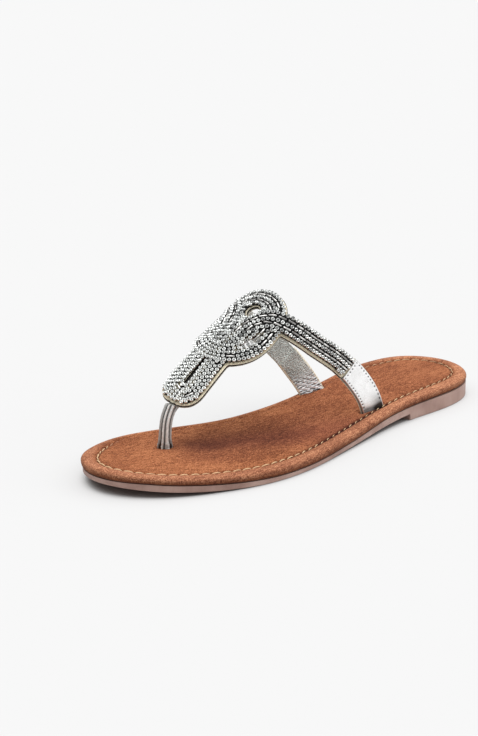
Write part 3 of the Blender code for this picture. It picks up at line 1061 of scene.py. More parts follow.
@dataclass
class Footbed(SubAssembly):
    """Suede footbed with a rolled edge and a sunk line of stitches."""

    net: SoleNet
    slots: list[tuple[Array, Array]]
    edge_round: float = 1.75
    stitch_inset: float = 8.0
    inner_inset: float = 5.2
    inner_facing: float = -1.6
    inner_run: Triple = (-0.05, 0.86, 0.3)
    groove_width: float = 0.9
    groove_depth: float = 0.55
    pull_depth: float = 0.4
    stitch_pitch: float = 5.3
    stitch_length: float = 4.5
    stitch_slant: float = 0.13
    stitch_arch: float = 0.4
    thread: float = 0.25
    slot_dip: float = 1.3
    slot_reach: float = 1.9
    # Painted shadow in the slots where the tabs and the post enter.
    slot_shade: float = 1.15
    slot_power: float = 1.5
    crown: float = 0.3
    # Painted shade under the strap panel, deeper inwards from the stitch line.
    panel_shade_reach: float = 25.0
    panel_shade_span: tuple[float, float, float, float] = (-90.0, -62.0, 8.0, 55.0)
    panel_shade_share: float = 0.45
    # Painted shade in the stitch groove, darker from the ball to the waist and paler towards the heel.
    dark_groove: Span = (-42.0, -4.0)
    pale_groove: Span = (35.0, 70.0)
    pale_share: float = 0.8
    groove_shades: Triple = (0.35, 0.6, 0.15)
    hidden_shade: float = 0.2
    # Darker suede towards the heel.
    heel_dusk: float = 0.28
    heel_span: Span = (-15.0, 30.0)
    # Painted shadow of the straps and knot: a band from the toe post back to the waist.
    strap_shadow_line: tuple[Span, Span] = ((-59.0, 5.0), (8.0, -27.0))
    strap_shadow_reach: Span = (12.0, 22.0)
    strap_shadow_fade: float = 0.2
    strap_shadow_dark: float = 0.45
    border_place: float = 0.57
    border_half: float = 3.4
    rim_run: float = 4.0
    roll_inset: float = 2.2
    side_shade: float = 0.42
    under_inset: float = 4.0
    tone_fade: Span = (40.0, 80.0)
    fade_share: float = 0.3
    least_tone: float = 0.6
    stitch_rise: Span = (0.05, 0.4)
    waist_slant: float = 0.16
    slant_spread: float = 0.05
    size_spread: float = 0.08
    waist_shrink: float = 0.35
    middle_shares: tuple[float, ...] = (1.0, 0.8, 0.62, 0.46, 0.32, 0.2, 0.1)
    roll_angles: tuple[float, ...] = (75.0, 58.0, 42.0, 27.0, 13.0, 0.0)
    tuck_angles: tuple[float, ...] = (18.0, 36.0, 54.0, 72.0, 90.0)
    tuck_share: float = 0.7
    insets: tuple[float, ...] = (
        17.0, 16.2, 15.4, 14.6, 13.8, 13.0, 12.2, 11.4, 10.7, 10.0, 9.5, 9.1, 8.8, 8.5, 8.25, 8.0,
        7.75, 7.5, 7.2, 6.9, 6.5, 5.9, 5.2, 4.4, 3.6, 2.8, 2.2,
    )

    def seam_inset(self) -> Array:
        """Distance of the stitch line from the edge, less along the inner side.

        Returns:
            One distance for each column.
        """
        along = self.net.rim[:, 0] / (self.net.plan.length / 2.0)
        middle, half, fade = self.inner_run
        inner = smooth(self.net.inward[:, 1] * self.inner_facing)
        inner = inner * smooth((half - np.abs(along - middle)) / fade)
        return self.stitch_inset + (self.inner_inset - self.stitch_inset) * inner

    def shown(self, inset: Array) -> Array:
        """How far the stitches show, from 0 along the inner side to 1 elsewhere."""
        return eased(inset, self.inner_inset, self.stitch_inset)

    def stitch_path(self) -> tuple[Array, Array, int]:
        """Line that the stitches follow.

        Returns:
            The line's points, the lengths along it and the number of stitches.
        """
        line = self.net.ring(self.seam_inset())
        closed = np.vstack([line, line[:1]])
        run = run_length(closed)
        return closed, run, int(round(run[-1] / self.stitch_pitch))

    def waist(self, x: Array) -> Array:
        """How far the stitch groove's painted shade has turned dark, from 0 at the forefoot to 1 at the
        waist and back.
        """
        return eased(x, *self.dark_groove) * (1.0 - self.pale_share * eased(x, *self.pale_groove))

    def strap_shadow(self, flat: Array) -> tuple[Array, Array]:
        """Painted shadow of the straps and knot: a darkened band of the suede from the post back to the
        waist.

        Args:
            flat: plan points.

        Returns:
            Depth of the band from 0 to 1, and the share of its length at the nearest place.
        """
        gap, share = near_line(flat, *np.array(self.strap_shadow_line))
        reach = self.strap_shadow_reach[0] + (self.strap_shadow_reach[1] - self.strap_shadow_reach[0]) * share
        return np.exp(-((gap / reach) ** 2)), share

    def slot_depth(self, flat: Array) -> Array:
        """How far the suede dips at plan points near the slots, from 0 to 1."""
        gap = np.min([near_line(flat, start, end)[0] for start, end in self.slots], axis=0)
        return np.exp(-((gap / self.slot_reach) ** 2))

    def build(self) -> None:
        """Makes the suede skin and its stitches."""
        plan = self.net.plan
        _, run, count = self.stitch_path()
        pull = 0.5 + 0.5 * np.cos(2.0 * math.pi * count * run[:-1] / run[-1])
        seam = self.seam_inset()
        shown = self.shown(seam)
        depth = self.groove_depth + self.pull_depth * pull * shown
        none = np.zeros(len(self.net.rim))
        first = self.insets[0]
        rings = []
        traits: dict[str, list[Array]] = {"painted_shade": [], "shaded_suede": [], "rim": []}

        def add(flat: Array, drop: Array, painted_shade: Array, shaded_suede: Array, rim: Array) -> None:
            """Adds a ring of the skin.

            Args:
                flat: plan points of the ring.
                drop: how far it lies below the footbed's top.
                painted_shade: how far painted shade darkens it.
                shaded_suede: how far it takes the shaded suede colours, painted shade and shadow with a
                    darkening towards the heel.
                rim: how far it takes the golden rim colour, partly a painted highlight.
            """
            rings.append(np.column_stack([flat, plan.top(flat[:, 0]) - drop]))
            for name, values in (("painted_shade", painted_shade), ("shaded_suede", shaded_suede), ("rim", rim)):
                traits[name].append(np.clip(values, 0.0, 1.0))

        def add_top(flat: Array, inset: Array) -> None:
            """Adds a ring of the top face, with the groove, the slots and the raised border.

            Args:
                flat: plan points of the ring.
                inset: their distances from the edge.
            """
            x = flat[:, 0]
            groove = np.exp(-(((inset - seam) / self.groove_width) ** 2))
            slot = self.slot_depth(flat)
            off = np.minimum(1.0, np.abs(inset - self.border_place * seam) / self.border_half)
            border = self.crown * (0.5 + 0.5 * np.cos(math.pi * off))
            drop = self.crown - border + groove * depth + self.slot_dip * slot
            # Painted shade under the panel, a darkening towards the heel and the painted shadow of the
            # straps and knot.
            start, full, hold, stop = self.panel_shade_span
            ahead = eased(x, start, full) * eased(x, stop, hold)
            shaded_suede = self.panel_shade_share * smooth((inset - seam) / self.panel_shade_reach) * ahead
            shaded_suede = np.maximum(shaded_suede, self.heel_dusk * eased(x, *self.heel_span))
            strap_shadow, share = self.strap_shadow(flat)
            shaded_suede = np.maximum(shaded_suede, strap_shadow * (1.0 - self.strap_shadow_fade * share))
            # Painted shade in the stitch groove and the slots, and deeper in the straps' painted shadow.
            plain, turned, pulled = self.groove_shades
            dark = np.sqrt(groove) * (plain + turned * self.waist(x) + pulled * pull)
            dark = dark * (self.hidden_shade + (1.0 - self.hidden_shade) * shown)
            dark = dark + self.slot_shade * slot ** self.slot_power
            dark = dark + self.strap_shadow_dark * (strap_shadow * (1.0 - share)) ** 2
            add(flat, drop, dark, shaded_suede, smooth((seam - inset) / self.rim_run))

        for share in self.middle_shares:
            flat = self.net.towards_middle(first, share)
            add_top(flat, first + np.linalg.norm(flat - self.net.ring(first), axis=1))
        low = self.roll_inset
        for inset in self.insets:
            moved = np.where(
                inset < self.stitch_inset,
                low + (inset - low) * (seam - low) / (self.stitch_inset - low),
                seam + (inset - self.stitch_inset) * (first - seam) / (first - self.stitch_inset),
            )
            add_top(self.net.ring(moved), moved)
        half = plan.bed_thickness(self.net.rim[:, 0]) / 2.0
        # Painted shade darkens the rolled edge towards its foot, under it and on the underside; the roll
        # takes the golden rim colour, partly a painted highlight.
        for angle in np.radians(self.roll_angles):
            flat = self.net.ring(self.edge_round * (1.0 - math.cos(angle)))
            fall = 1.0 - math.sin(angle)
            dark = self.side_shade * fall ** 0.9
            add(flat, half * fall + self.crown * math.sin(angle), none + dark, none, none + 1.0)
        for angle in np.radians(self.tuck_angles):
            flat = self.net.ring(self.tuck_share * self.edge_round * (1.0 - math.cos(angle)))
            dark = self.side_shade + (1.0 - self.side_shade) * math.sin(angle) ** 2
            add(flat, half * (1.0 + math.sin(angle)), none + dark, none, none)
        for share in (0.0, 0.5, 1.0):
            add(self.net.towards_middle(self.under_inset, share), 2.0 * half, none + 1.0, none, none)
        skin = lofted(rings, True, False)
        for name, values in traits.items():
            skin.traits[name] = np.concatenate(values)
        self.keep("footbed_suede", skin, SUEDE, Slot.SUEDE, "footbed")
        self.sew()

    def sew(self) -> None:
        """Lays the stitches in the groove."""
        path, run, count = self.stitch_path()
        at = (np.arange(count) + 0.5) * run[-1] / count
        plan = self.net.plan

        def on_bed(where: Array) -> Array:
            """Points of the groove's floor at lengths along the stitch line."""
            flat = read_along(path, run, where)
            return np.column_stack([flat, plan.top(flat[:, 0]) - self.crown - self.groove_depth])

        centre = on_bed(at)
        along = normalised(on_bed(at + 0.5) - on_bed(at - 0.5))
        up = np.repeat([[0.0, 0.0, 1.0]], count, axis=0)
        chance = np.random.default_rng(SEED_OF_CHANCE)
        waist = self.waist(centre[:, 0])[:, None]
        slant = self.stitch_slant + self.waist_slant * waist
        slant = slant + self.slant_spread * chance.standard_normal((count, 1))
        along = normalised(along + slant * np.cross(up, along))
        side = normalised(np.cross(up, along))
        up = np.cross(along, side)
        sizes = 1.0 + self.size_spread * chance.standard_normal((count, 3))
        sizes = sizes * (1.0 - self.waist_shrink * waist)
        shape = stitch_shape(self.stitch_length, self.thread, self.stitch_arch)
        seam = np.append(self.seam_inset(), self.seam_inset()[:1])
        shown = self.shown(np.interp(at, run, seam))
        fade = 1.0 - self.fade_share * eased(centre[:, 0], *self.tone_fade)
        tones = shown * (self.least_tone + (1.0 - self.least_tone) * chance.random(count)) * fade
        low, more = self.stitch_rise
        rise = (low + more * shown)[:, None]
        mesh = repeated(shape, centre + up * rise, (along, side, up), sizes, tones)
        self.keep("footbed_stitches", mesh, CREAM_THREAD, Slot.SUEDE)


def stitch_shape(length: float, radius: float, arch: float) -> Mesh:
    """One stitch: a short thread that bows up and dives at its ends.

    Args:
        length: length along the seam.
        radius: radius of the thread.
        arch: how far its ends drop below its middle.

    Returns:
        The stitch along its own first axis.
    """
    rings = []
    angle = around(STITCH_SIDES)
    for u in np.linspace(-1.0, 1.0, STITCH_RINGS):
        taper = math.sqrt(max(STITCH_TIP, 1.0 - u ** 4))
        x = np.full(STITCH_SIDES, u * length / 2.0)
        y = radius * STITCH_SPREAD * taper * np.cos(angle)
        z = radius * taper * np.sin(angle) - arch * u * u
        rings.append(np.stack([x, y, z], axis=1))
    return lofted(rings, True, True)


@dataclass(frozen=True)
class Band:
    """A ribbon of bead rows along a line in the flat."""

    line: Array
    closed: bool
    lift: Array

    def nearest(self, flat: Array) -> tuple[Array, Array]:
        """Looks up the line near flat points.

        Args:
            flat: the points.

        Returns:
            Distances to the line, and the nearest line points' numbers.
        """
        tree = KDTree(len(self.line))
        for i, (across, along) in enumerate(self.line):
            tree.insert((across, along, 0.0), i)
        tree.balance()
        found = [tree.find((p[0], p[1], 0.0)) for p in flat]
        return np.array([f[2] for f in found]), np.array([f[1] for f in found])

    def row(self, offset: float) -> tuple[Array, Array]:
        """Line moved sideways, and the lift along it.

        Args:
            offset: distance to the left of the line.

        Returns:
            Points of the row and their lifts; a closed row ends on its first point.
        """
        along = headings(self.line, self.closed)
        points = self.line + offset * np.stack([-along[:, 1], along[:, 0]], axis=1)
        lift = self.lift
        if self.closed:
            points = np.vstack([points, points[:1]])
            lift = np.append(lift, lift[0])
        return points, lift


@dataclass(frozen=True)
class KnotPattern:
    """Panel in the flat: a ring, and one ribbon from strap to strap that loops round the toe end."""

    straps: StrapLine
    loop_half: float = 12.4
    loop_square: float = 2.6
    loop_end: float = 46.0
    ring_centre: float = 52.6
    ring_across: float = 23.2
    ring_along: float = 25.2
    ring_power: float = 2.1
    ring_rear: float = 26.4
    rear_powers: Span = (2.3, 1.8)
    ring_skew: float = 1.5
    strap_root: float = 12.0
    strap_end: float = 66.0
    slit_half: float = 0.55
    slit_low: float = 13.0
    slit_high: float = 30.0
    slit_square: float = 4.0
    hole_centre: Span = (-1.9, 63.5)
    hole_axes: Span = (3.2, 3.3)
    eye_centre: Span = (13.4, 47.6)
    eye_long: float = 7.6
    eye_wide: float = 1.7
    eye_lean: float = math.radians(24.0)
    eye_point: float = 1.7
    band_half: float = 6.1
    leg: float = 6.3
    lift_height: float = 0.9
    root_lift: Span = (20.0, 13.0)
    smile_half: float = 1.05
    fillet: float = 1.2
    strap_shift: float = 0.4
    knot_start: float = 22.0
    knot_lap: float = 3.0
    knot_step: float = 4.0
    rear_cut: float = 0.7
    line_points: int = 1200
    oval_points: int = 480
    line_step: float = 0.5

    def ribbon(self) -> Band:
        """Ribbon from the outer strap round the toe end to the inner strap.

        Returns:
            The ribbon, raised where it passes over the ring.
        """
        turn = self.leg * math.sqrt(0.5)
        legs = (
            # distance across, along
            (0.0, self.leg),
            (turn, 2.0 * self.leg - turn),
            (self.leg, 2.0 * self.leg),
            (5.95, 22.0),
            (5.85, 33.0),
            (5.7, 44.0),
            (7.0, 54.5),
            (12.2, 62.0),
        )
        halves = []
        for side in Side:
            at = np.arange(self.knot_start, self.strap_end + self.knot_lap, self.knot_step)
            strap = np.stack([at, self.straps.middle(side, at) + self.strap_shift], axis=1)
            half = np.vstack([legs, strap])
            halves.append(half * np.array([side.value, 1.0]))
        knots = np.vstack([halves[0][::-1], halves[1][1:]])
        run = run_length(knots)
        curve = hermite(run, knots, np.linspace(0.0, run[-1], self.line_points))
        line = resampled(curve, self.line_step)
        across = np.abs(line[:, 0])
        high = line[:, 1] > self.ring_centre
        middle, reach = self.root_lift
        lift = self.lift_height * (1.0 - smooth(np.abs(across - middle) / reach)) * high
        return Band(line, False, lift)

    def ring(self) -> Band:
        """Closed ring round the knot.

        Returns:
            The ring, raised where it passes over the ribbon.
        """
        oval = self.oval_line(-self.band_half)
        line = resampled(np.vstack([oval, oval[:1]]), self.line_step)[:-1]
        angle = np.arctan2(line[:, 0], self.ring_centre - line[:, 1])
        lift = self.lift_height * (1.0 - smooth(np.abs(angle) / self.smile_half))
        return Band(line, True, lift)

    def oval_line(self, grow: float) -> Array:
        """Closed line along the ring's outer edge.

        Args:
            grow: how far the line lies outside the edge.

        Returns:
            The line's flat points.
        """
        angle = around(self.oval_points)
        cos = np.cos(angle)
        sin = np.sin(angle)
        rear = sin > 0.0
        power = 2.0 / np.where(rear, np.where(cos < 0.0, *self.rear_powers), self.ring_power)
        reach = np.abs(sin) ** power
        across = (self.ring_across + grow) * np.sign(cos) * np.abs(cos) ** power
        across = across - self.ring_skew * np.where(rear, reach * reach, 0.0)
        along = np.where(rear, self.ring_rear + grow, -self.ring_along - grow) * reach
        return np.stack([across, self.ring_centre + along], axis=1)

    @staticmethod
    def inside_oval(flat: Array, centre: Span, axes: Span, lean: float, power: float) -> Array:
        """Distance of flat points inside an oval, near its edge.

        Args:
            flat: the points.
            centre: the oval's middle.
            axes: its half sizes before it leans.
            lean: how far it is turned.
            power: 2 for an ellipse, more for a squarer form.

        Returns:
            The distances, minus outside.
        """
        x = flat[:, 0] - centre[0]
        y = flat[:, 1] - centre[1]
        u = np.abs(x * math.cos(lean) + y * math.sin(lean)) / axes[0]
        w = np.abs(-x * math.sin(lean) + y * math.cos(lean)) / axes[1]
        value = u ** power + w ** power
        slope_u = power * u ** (power - 1.0) / axes[0]
        slope_w = power * w ** (power - 1.0) / axes[1]
        return (1.0 - value) / np.maximum(np.hypot(slope_u, slope_w), 1e-6)

    def inside_strap(self, flat: Array, side: Side) -> Array:
        """Distance of flat points inside a strap, minus outside.

        Args:
            flat: the points.
            side: which strap.

        Returns:
            The distances.
        """
        across = flat[:, 0] * side.value
        at = np.clip(across, self.strap_root, self.strap_end)
        off = np.abs(flat[:, 1] - self.straps.middle(side, at))
        wide = self.straps.half(at) - off / np.hypot(1.0, self.straps.slope(side, at))
        return np.minimum(wide, np.minimum(across - self.strap_root, self.strap_end - across))

    def inside_loop(self, flat: Array) -> Array:
        """Distance of flat points inside the toe loop, minus outside.

        Args:
            flat: the points.

        Returns:
            The distances.
        """
        half = self.loop_half
        end = self.inside_oval(flat, (0.0, half), (half, half), 0.0, self.loop_square)
        sides = np.minimum(half - np.abs(flat[:, 0]), self.loop_end - flat[:, 1])
        return np.where(flat[:, 1] < half, end, sides)

    def outline(self, flat: Array) -> Array:
        """Distance of flat points inside the panel's outer contour, minus outside.

        Args:
            flat: the points.

        Returns:
            The distances.
        """

        def joined(first: Array, second: Array) -> Array:
            """Union of two forms with a small fillet."""
            share = np.clip(0.5 + 0.5 * (first - second) / self.fillet, 0.0, 1.0)
            return second + (first - second) * share + self.fillet * share * (1.0 - share)

        centre = (0.0, self.ring_centre)
        front = self.inside_oval(flat, centre, (self.ring_across, self.ring_along), 0.0, self.ring_power)
        reach = np.clip((flat[:, 1] - self.ring_centre) / self.ring_rear, 0.0, 1.0)
        drawn = flat + np.column_stack([self.ring_skew * reach * reach, np.zeros(len(flat))])
        axes = (self.ring_across, self.ring_rear)
        halves = [self.inside_oval(drawn, centre, axes, 0.0, power) for power in self.rear_powers]
        rear = np.where(drawn[:, 0] < 0.0, *halves)
        oval = np.where(flat[:, 1] > self.ring_centre, rear, front)
        whole = joined(oval, self.inside_loop(flat))
        for side in Side:
            whole = joined(whole, self.inside_strap(flat, side))
        return whole

    def openings(self, flat: Array) -> Array:
        """Distance of flat points inside the slit, the hole and the eyes, minus outside them.

        Args:
            flat: the points.

        Returns:
            The distances.
        """
        middle = 0.5 * (self.slit_low + self.slit_high)
        reach = 0.5 * (self.slit_high - self.slit_low)
        holes = [self.inside_oval(flat, (0.0, middle), (self.slit_half, reach), 0.0, self.slit_square)]
        holes.append(self.inside_oval(flat, self.hole_centre, self.hole_axes, 0.0, 2.0))
        axes = (self.eye_wide, self.eye_long)
        for side in Side:
            centre = (side.value * self.eye_centre[0], self.eye_centre[1])
            lean = -side.value * self.eye_lean
            holes.append(self.inside_oval(flat, centre, axes, lean, self.eye_point))
        return np.max(holes, axis=0)

    def leather(self, flat: Array) -> Array:
        """Distance of flat points inside the leather, which stops short of the beads at the rear edges."""
        behind = flat + np.array([0.0, self.rear_cut])
        return np.minimum(self.inside(flat), self.outline(behind))

    def inside(self, flat: Array, margin: float = 0.0, hole_margin: float = 0.0) -> Array:
        """Distance of flat points inside the cut panel, less margins at its contour and its openings."""
        return np.minimum(self.outline(flat) - margin, -self.openings(flat) - hole_margin)

    def raised(self, flat: Array, wider: float, shoulder: float) -> Array:
        """Height that the bands add where they pass over each other.

        Args:
            flat: flat points.
            wider: how far the raised part reaches past a band's edge.
            shoulder: width over which it falls away.

        Returns:
            The heights there.
        """
        height = np.zeros(len(flat))
        for band in (self.ribbon(), self.ring()):
            gap, nearest = band.nearest(flat)
            share = smooth((self.band_half + wider - gap) / shoulder)
            height = np.maximum(height, band.lift[nearest] * share)
        return height


@dataclass(frozen=True)
class FlatSheet:
    """A sheet cut flat where a distance function falls to a level, with a half-round edge."""

    inside: Callable[[Array], Array]
    box: tuple[float, float, float, float] = (-68.0, 68.0, -2.0, 94.0)
    cell: float = 0.7
    edge_steps: int = 6
    probe: float = 0.05

    def cut(self, level: float) -> tuple[Array, list[list[int]], list[tuple[int, int]]]:
        """Cuts the sheet's plan.

        Args:
            level: distance inside the edge where the plan ends.

        Returns:
            Plan points, faces and the pairs of points along the rim.
        """
        a = np.arange(self.box[0], self.box[1] + self.cell, self.cell)
        t = np.arange(self.box[2], self.box[3] + self.cell, self.cell)
        across, along = np.meshgrid(a, t, indexing="ij")
        grid = np.stack([across.ravel(), along.ravel()], axis=1)
        value = self.inside(grid).reshape(across.shape) - level
        least = 0.15 * self.cell
        value = np.where(np.abs(value) < least, np.where(value >= 0.0, least, -least), value)
        inside = value > 0.0
        number = np.cumsum(inside.ravel()).reshape(inside.shape) - 1
        points = np.stack([across[inside], along[inside]], axis=1).tolist()
        corners = (inside[:-1, :-1], inside[1:, :-1], inside[1:, 1:], inside[:-1, 1:])
        full = np.logical_and.reduce(corners)
        numbers = (number[:-1, :-1], number[1:, :-1], number[1:, 1:], number[:-1, 1:])
        faces = np.stack([corner[full] for corner in numbers], axis=1).tolist()
        rim: list[tuple[int, int]] = []
        crossings: dict[tuple[tuple[int, int], tuple[int, int]], int] = {}
        for i, j in zip(*np.nonzero(np.logical_or.reduce(corners) & ~full)):
            square = ((i, j), (i + 1, j), (i + 1, j + 1), (i, j + 1))
            loop: list[int] = []
            leaving: list[bool] = []
            for k in range(4):
                p = square[k]
                q = square[(k + 1) % 4]
                if inside[p]:
                    loop.append(int(number[p]))
                    leaving.append(False)
                if inside[p] != inside[q]:
                    key = (min(p, q), max(p, q))
                    if key not in crossings:
                        share = value[p] / (value[p] - value[q])
                        crossings[key] = len(points)
                        points.append([line[p] + share * (line[q] - line[p]) for line in (across, along)])
                    loop.append(crossings[key])
                    leaving.append(bool(inside[p]))
            faces.append(loop)
            for k, leaves in enumerate(leaving):
                if leaves:
                    rim.append((loop[k], loop[(k + 1) % len(loop)]))
        return np.array(points), faces, rim

    def outward(self, flat: Array) -> Array:
        """Unit directions out of the sheet at flat points.

        Args:
            flat: points near the edge.

        Returns:
            The directions.
        """
        steps = self.probe * np.eye(2)
        slope = np.stack([self.inside(flat + step) - self.inside(flat - step) for step in steps], axis=1)
        return -normalised(slope + 1e-9)

    def layer(self, heights: Span, inset: float, relief: Callable[[Array], Array] | None) -> Mesh:
        """One layer of the sheet, still flat.

        Args:
            heights: heights of its underside and its face.
            inset: how far its edge lies inside the cut line.
            relief: extra height of the face at flat points, if any.

        Returns:
            A closed mesh of (across, along, height) points.
        """
        low, high = heights
        radius = 0.5 * (high - low)
        plan, faces, rim = self.cut(inset + radius)
        count = len(plan)
        extra = relief(plan) if relief else np.zeros(count)
        blocks = [np.column_stack([plan, high + extra]), np.column_stack([plan, np.full(count, low)])]
        skin = [face[::-1] for face in faces] + [[v + count for v in face] for face in faces]
        edge = sorted({v for pair in rim for v in pair})
        order = {v: n for n, v in enumerate(edge)}
        out = self.outward(plan[edge])
        base = 2 * count
        raw = [np.zeros(2 * count)]
        for k in range(1, self.edge_steps):
            angle = math.pi * k / self.edge_steps
            flat = plan[edge] + out * radius * math.sin(angle)
            share = 0.5 + 0.5 * math.cos(angle)
            height = low + (high + extra[edge] - low) * share
            blocks.append(np.column_stack([flat, height]))
            raw.append(np.full(len(edge), math.sin(angle)))

        def edge_point(v: int, k: int) -> int:
            """Number of an edge point.

            Args:
                v: number of the rim point on the face.
                k: step from the face to the underside.

            Returns:
                The point's number in the mesh.
            """
            if k == 0:
                return v
            if k == self.edge_steps:
                return v + count
            return base + (k - 1) * len(edge) + order[v]

        for v, w in rim:
            for k in range(self.edge_steps):
                corners = ((v, k), (w, k), (w, k + 1), (v, k + 1))
                skin.append([edge_point(*corner) for corner in corners])
        return Mesh(np.vstack(blocks), skin, {"edge": np.concatenate(raw)})


def bent(last: Last, flat: Mesh) -> Mesh:
    """A flat mesh bent over the last."""
    return Mesh(last.lay(flat.points), flat.faces, dict(flat.traits))


@dataclass
class StrapPanel(SubAssembly):
    """Leather of the straps: a face, a lining under it and the dark bed that the beads are sewn to, near
    black as dark backing and painted shade between the beads.
    """

    last: Last
    pattern: KnotPattern
    lining_heights: Span = (-1.2, -0.45)
    face_heights: Span = (-0.1, 0.6)
    bed_heights: Span = (0.4, 1.0)
    lining_inset: float = -0.25
    face_inset: float = 0.2
    bed_inset: float = 1.5
    bed_hole_inset: float = 0.75
    shoulder: float = 1.3
    # Painted shade near the openings and on the lining's hidden top face.
    hole_shade: float = 0.3
    hole_fade: Span = (-1.2, -0.4)
    side_gain: float = 3.0
    side_start: float = 0.6

    def build(self) -> None:
        """Makes the three layers."""
        sheet = FlatSheet(self.pattern.leather)
        bed = FlatSheet(lambda flat: self.pattern.inside(flat, self.bed_inset, self.bed_hole_inset))

        def relief(flat: Array) -> Array:
            """Height that the crossing bands add to the bead bed."""
            return self.pattern.raised(flat, 0.0, self.shoulder)

        layers = (
            # name, sheet, heights, inset, relief, finish, nodes
            ("strap_lining", sheet, self.lining_heights, self.lining_inset, None, LINING, ()),
            ("strap_face", sheet, self.face_heights, self.face_inset, None, FACE_FOIL, ("upper",)),
            ("bead_bed", bed, self.bed_heights, 0.0, relief, DARK_BED_AND_SHADE, ()),
        )
        for name, cut, heights, inset, extra, finish, nodes in layers:
            flat = cut.layer(heights, inset, extra)
            # Painted shade near the openings; on the lining, painted shade over its top face, so a dark
            # line shows between it and the face.
            dark = self.hole_shade * eased(self.pattern.openings(flat.points[:, :2]), *self.hole_fade)
            if finish is LINING:
                low, high = heights
                level = (flat.points[:, 2] - low) / (high - low)
                dark = np.maximum(dark, smooth(self.side_gain * (level - self.side_start)))
            flat.traits["painted_shade"] = dark
            self.keep(name, bent(self.last, flat), finish, Slot.BEADED, *nodes)


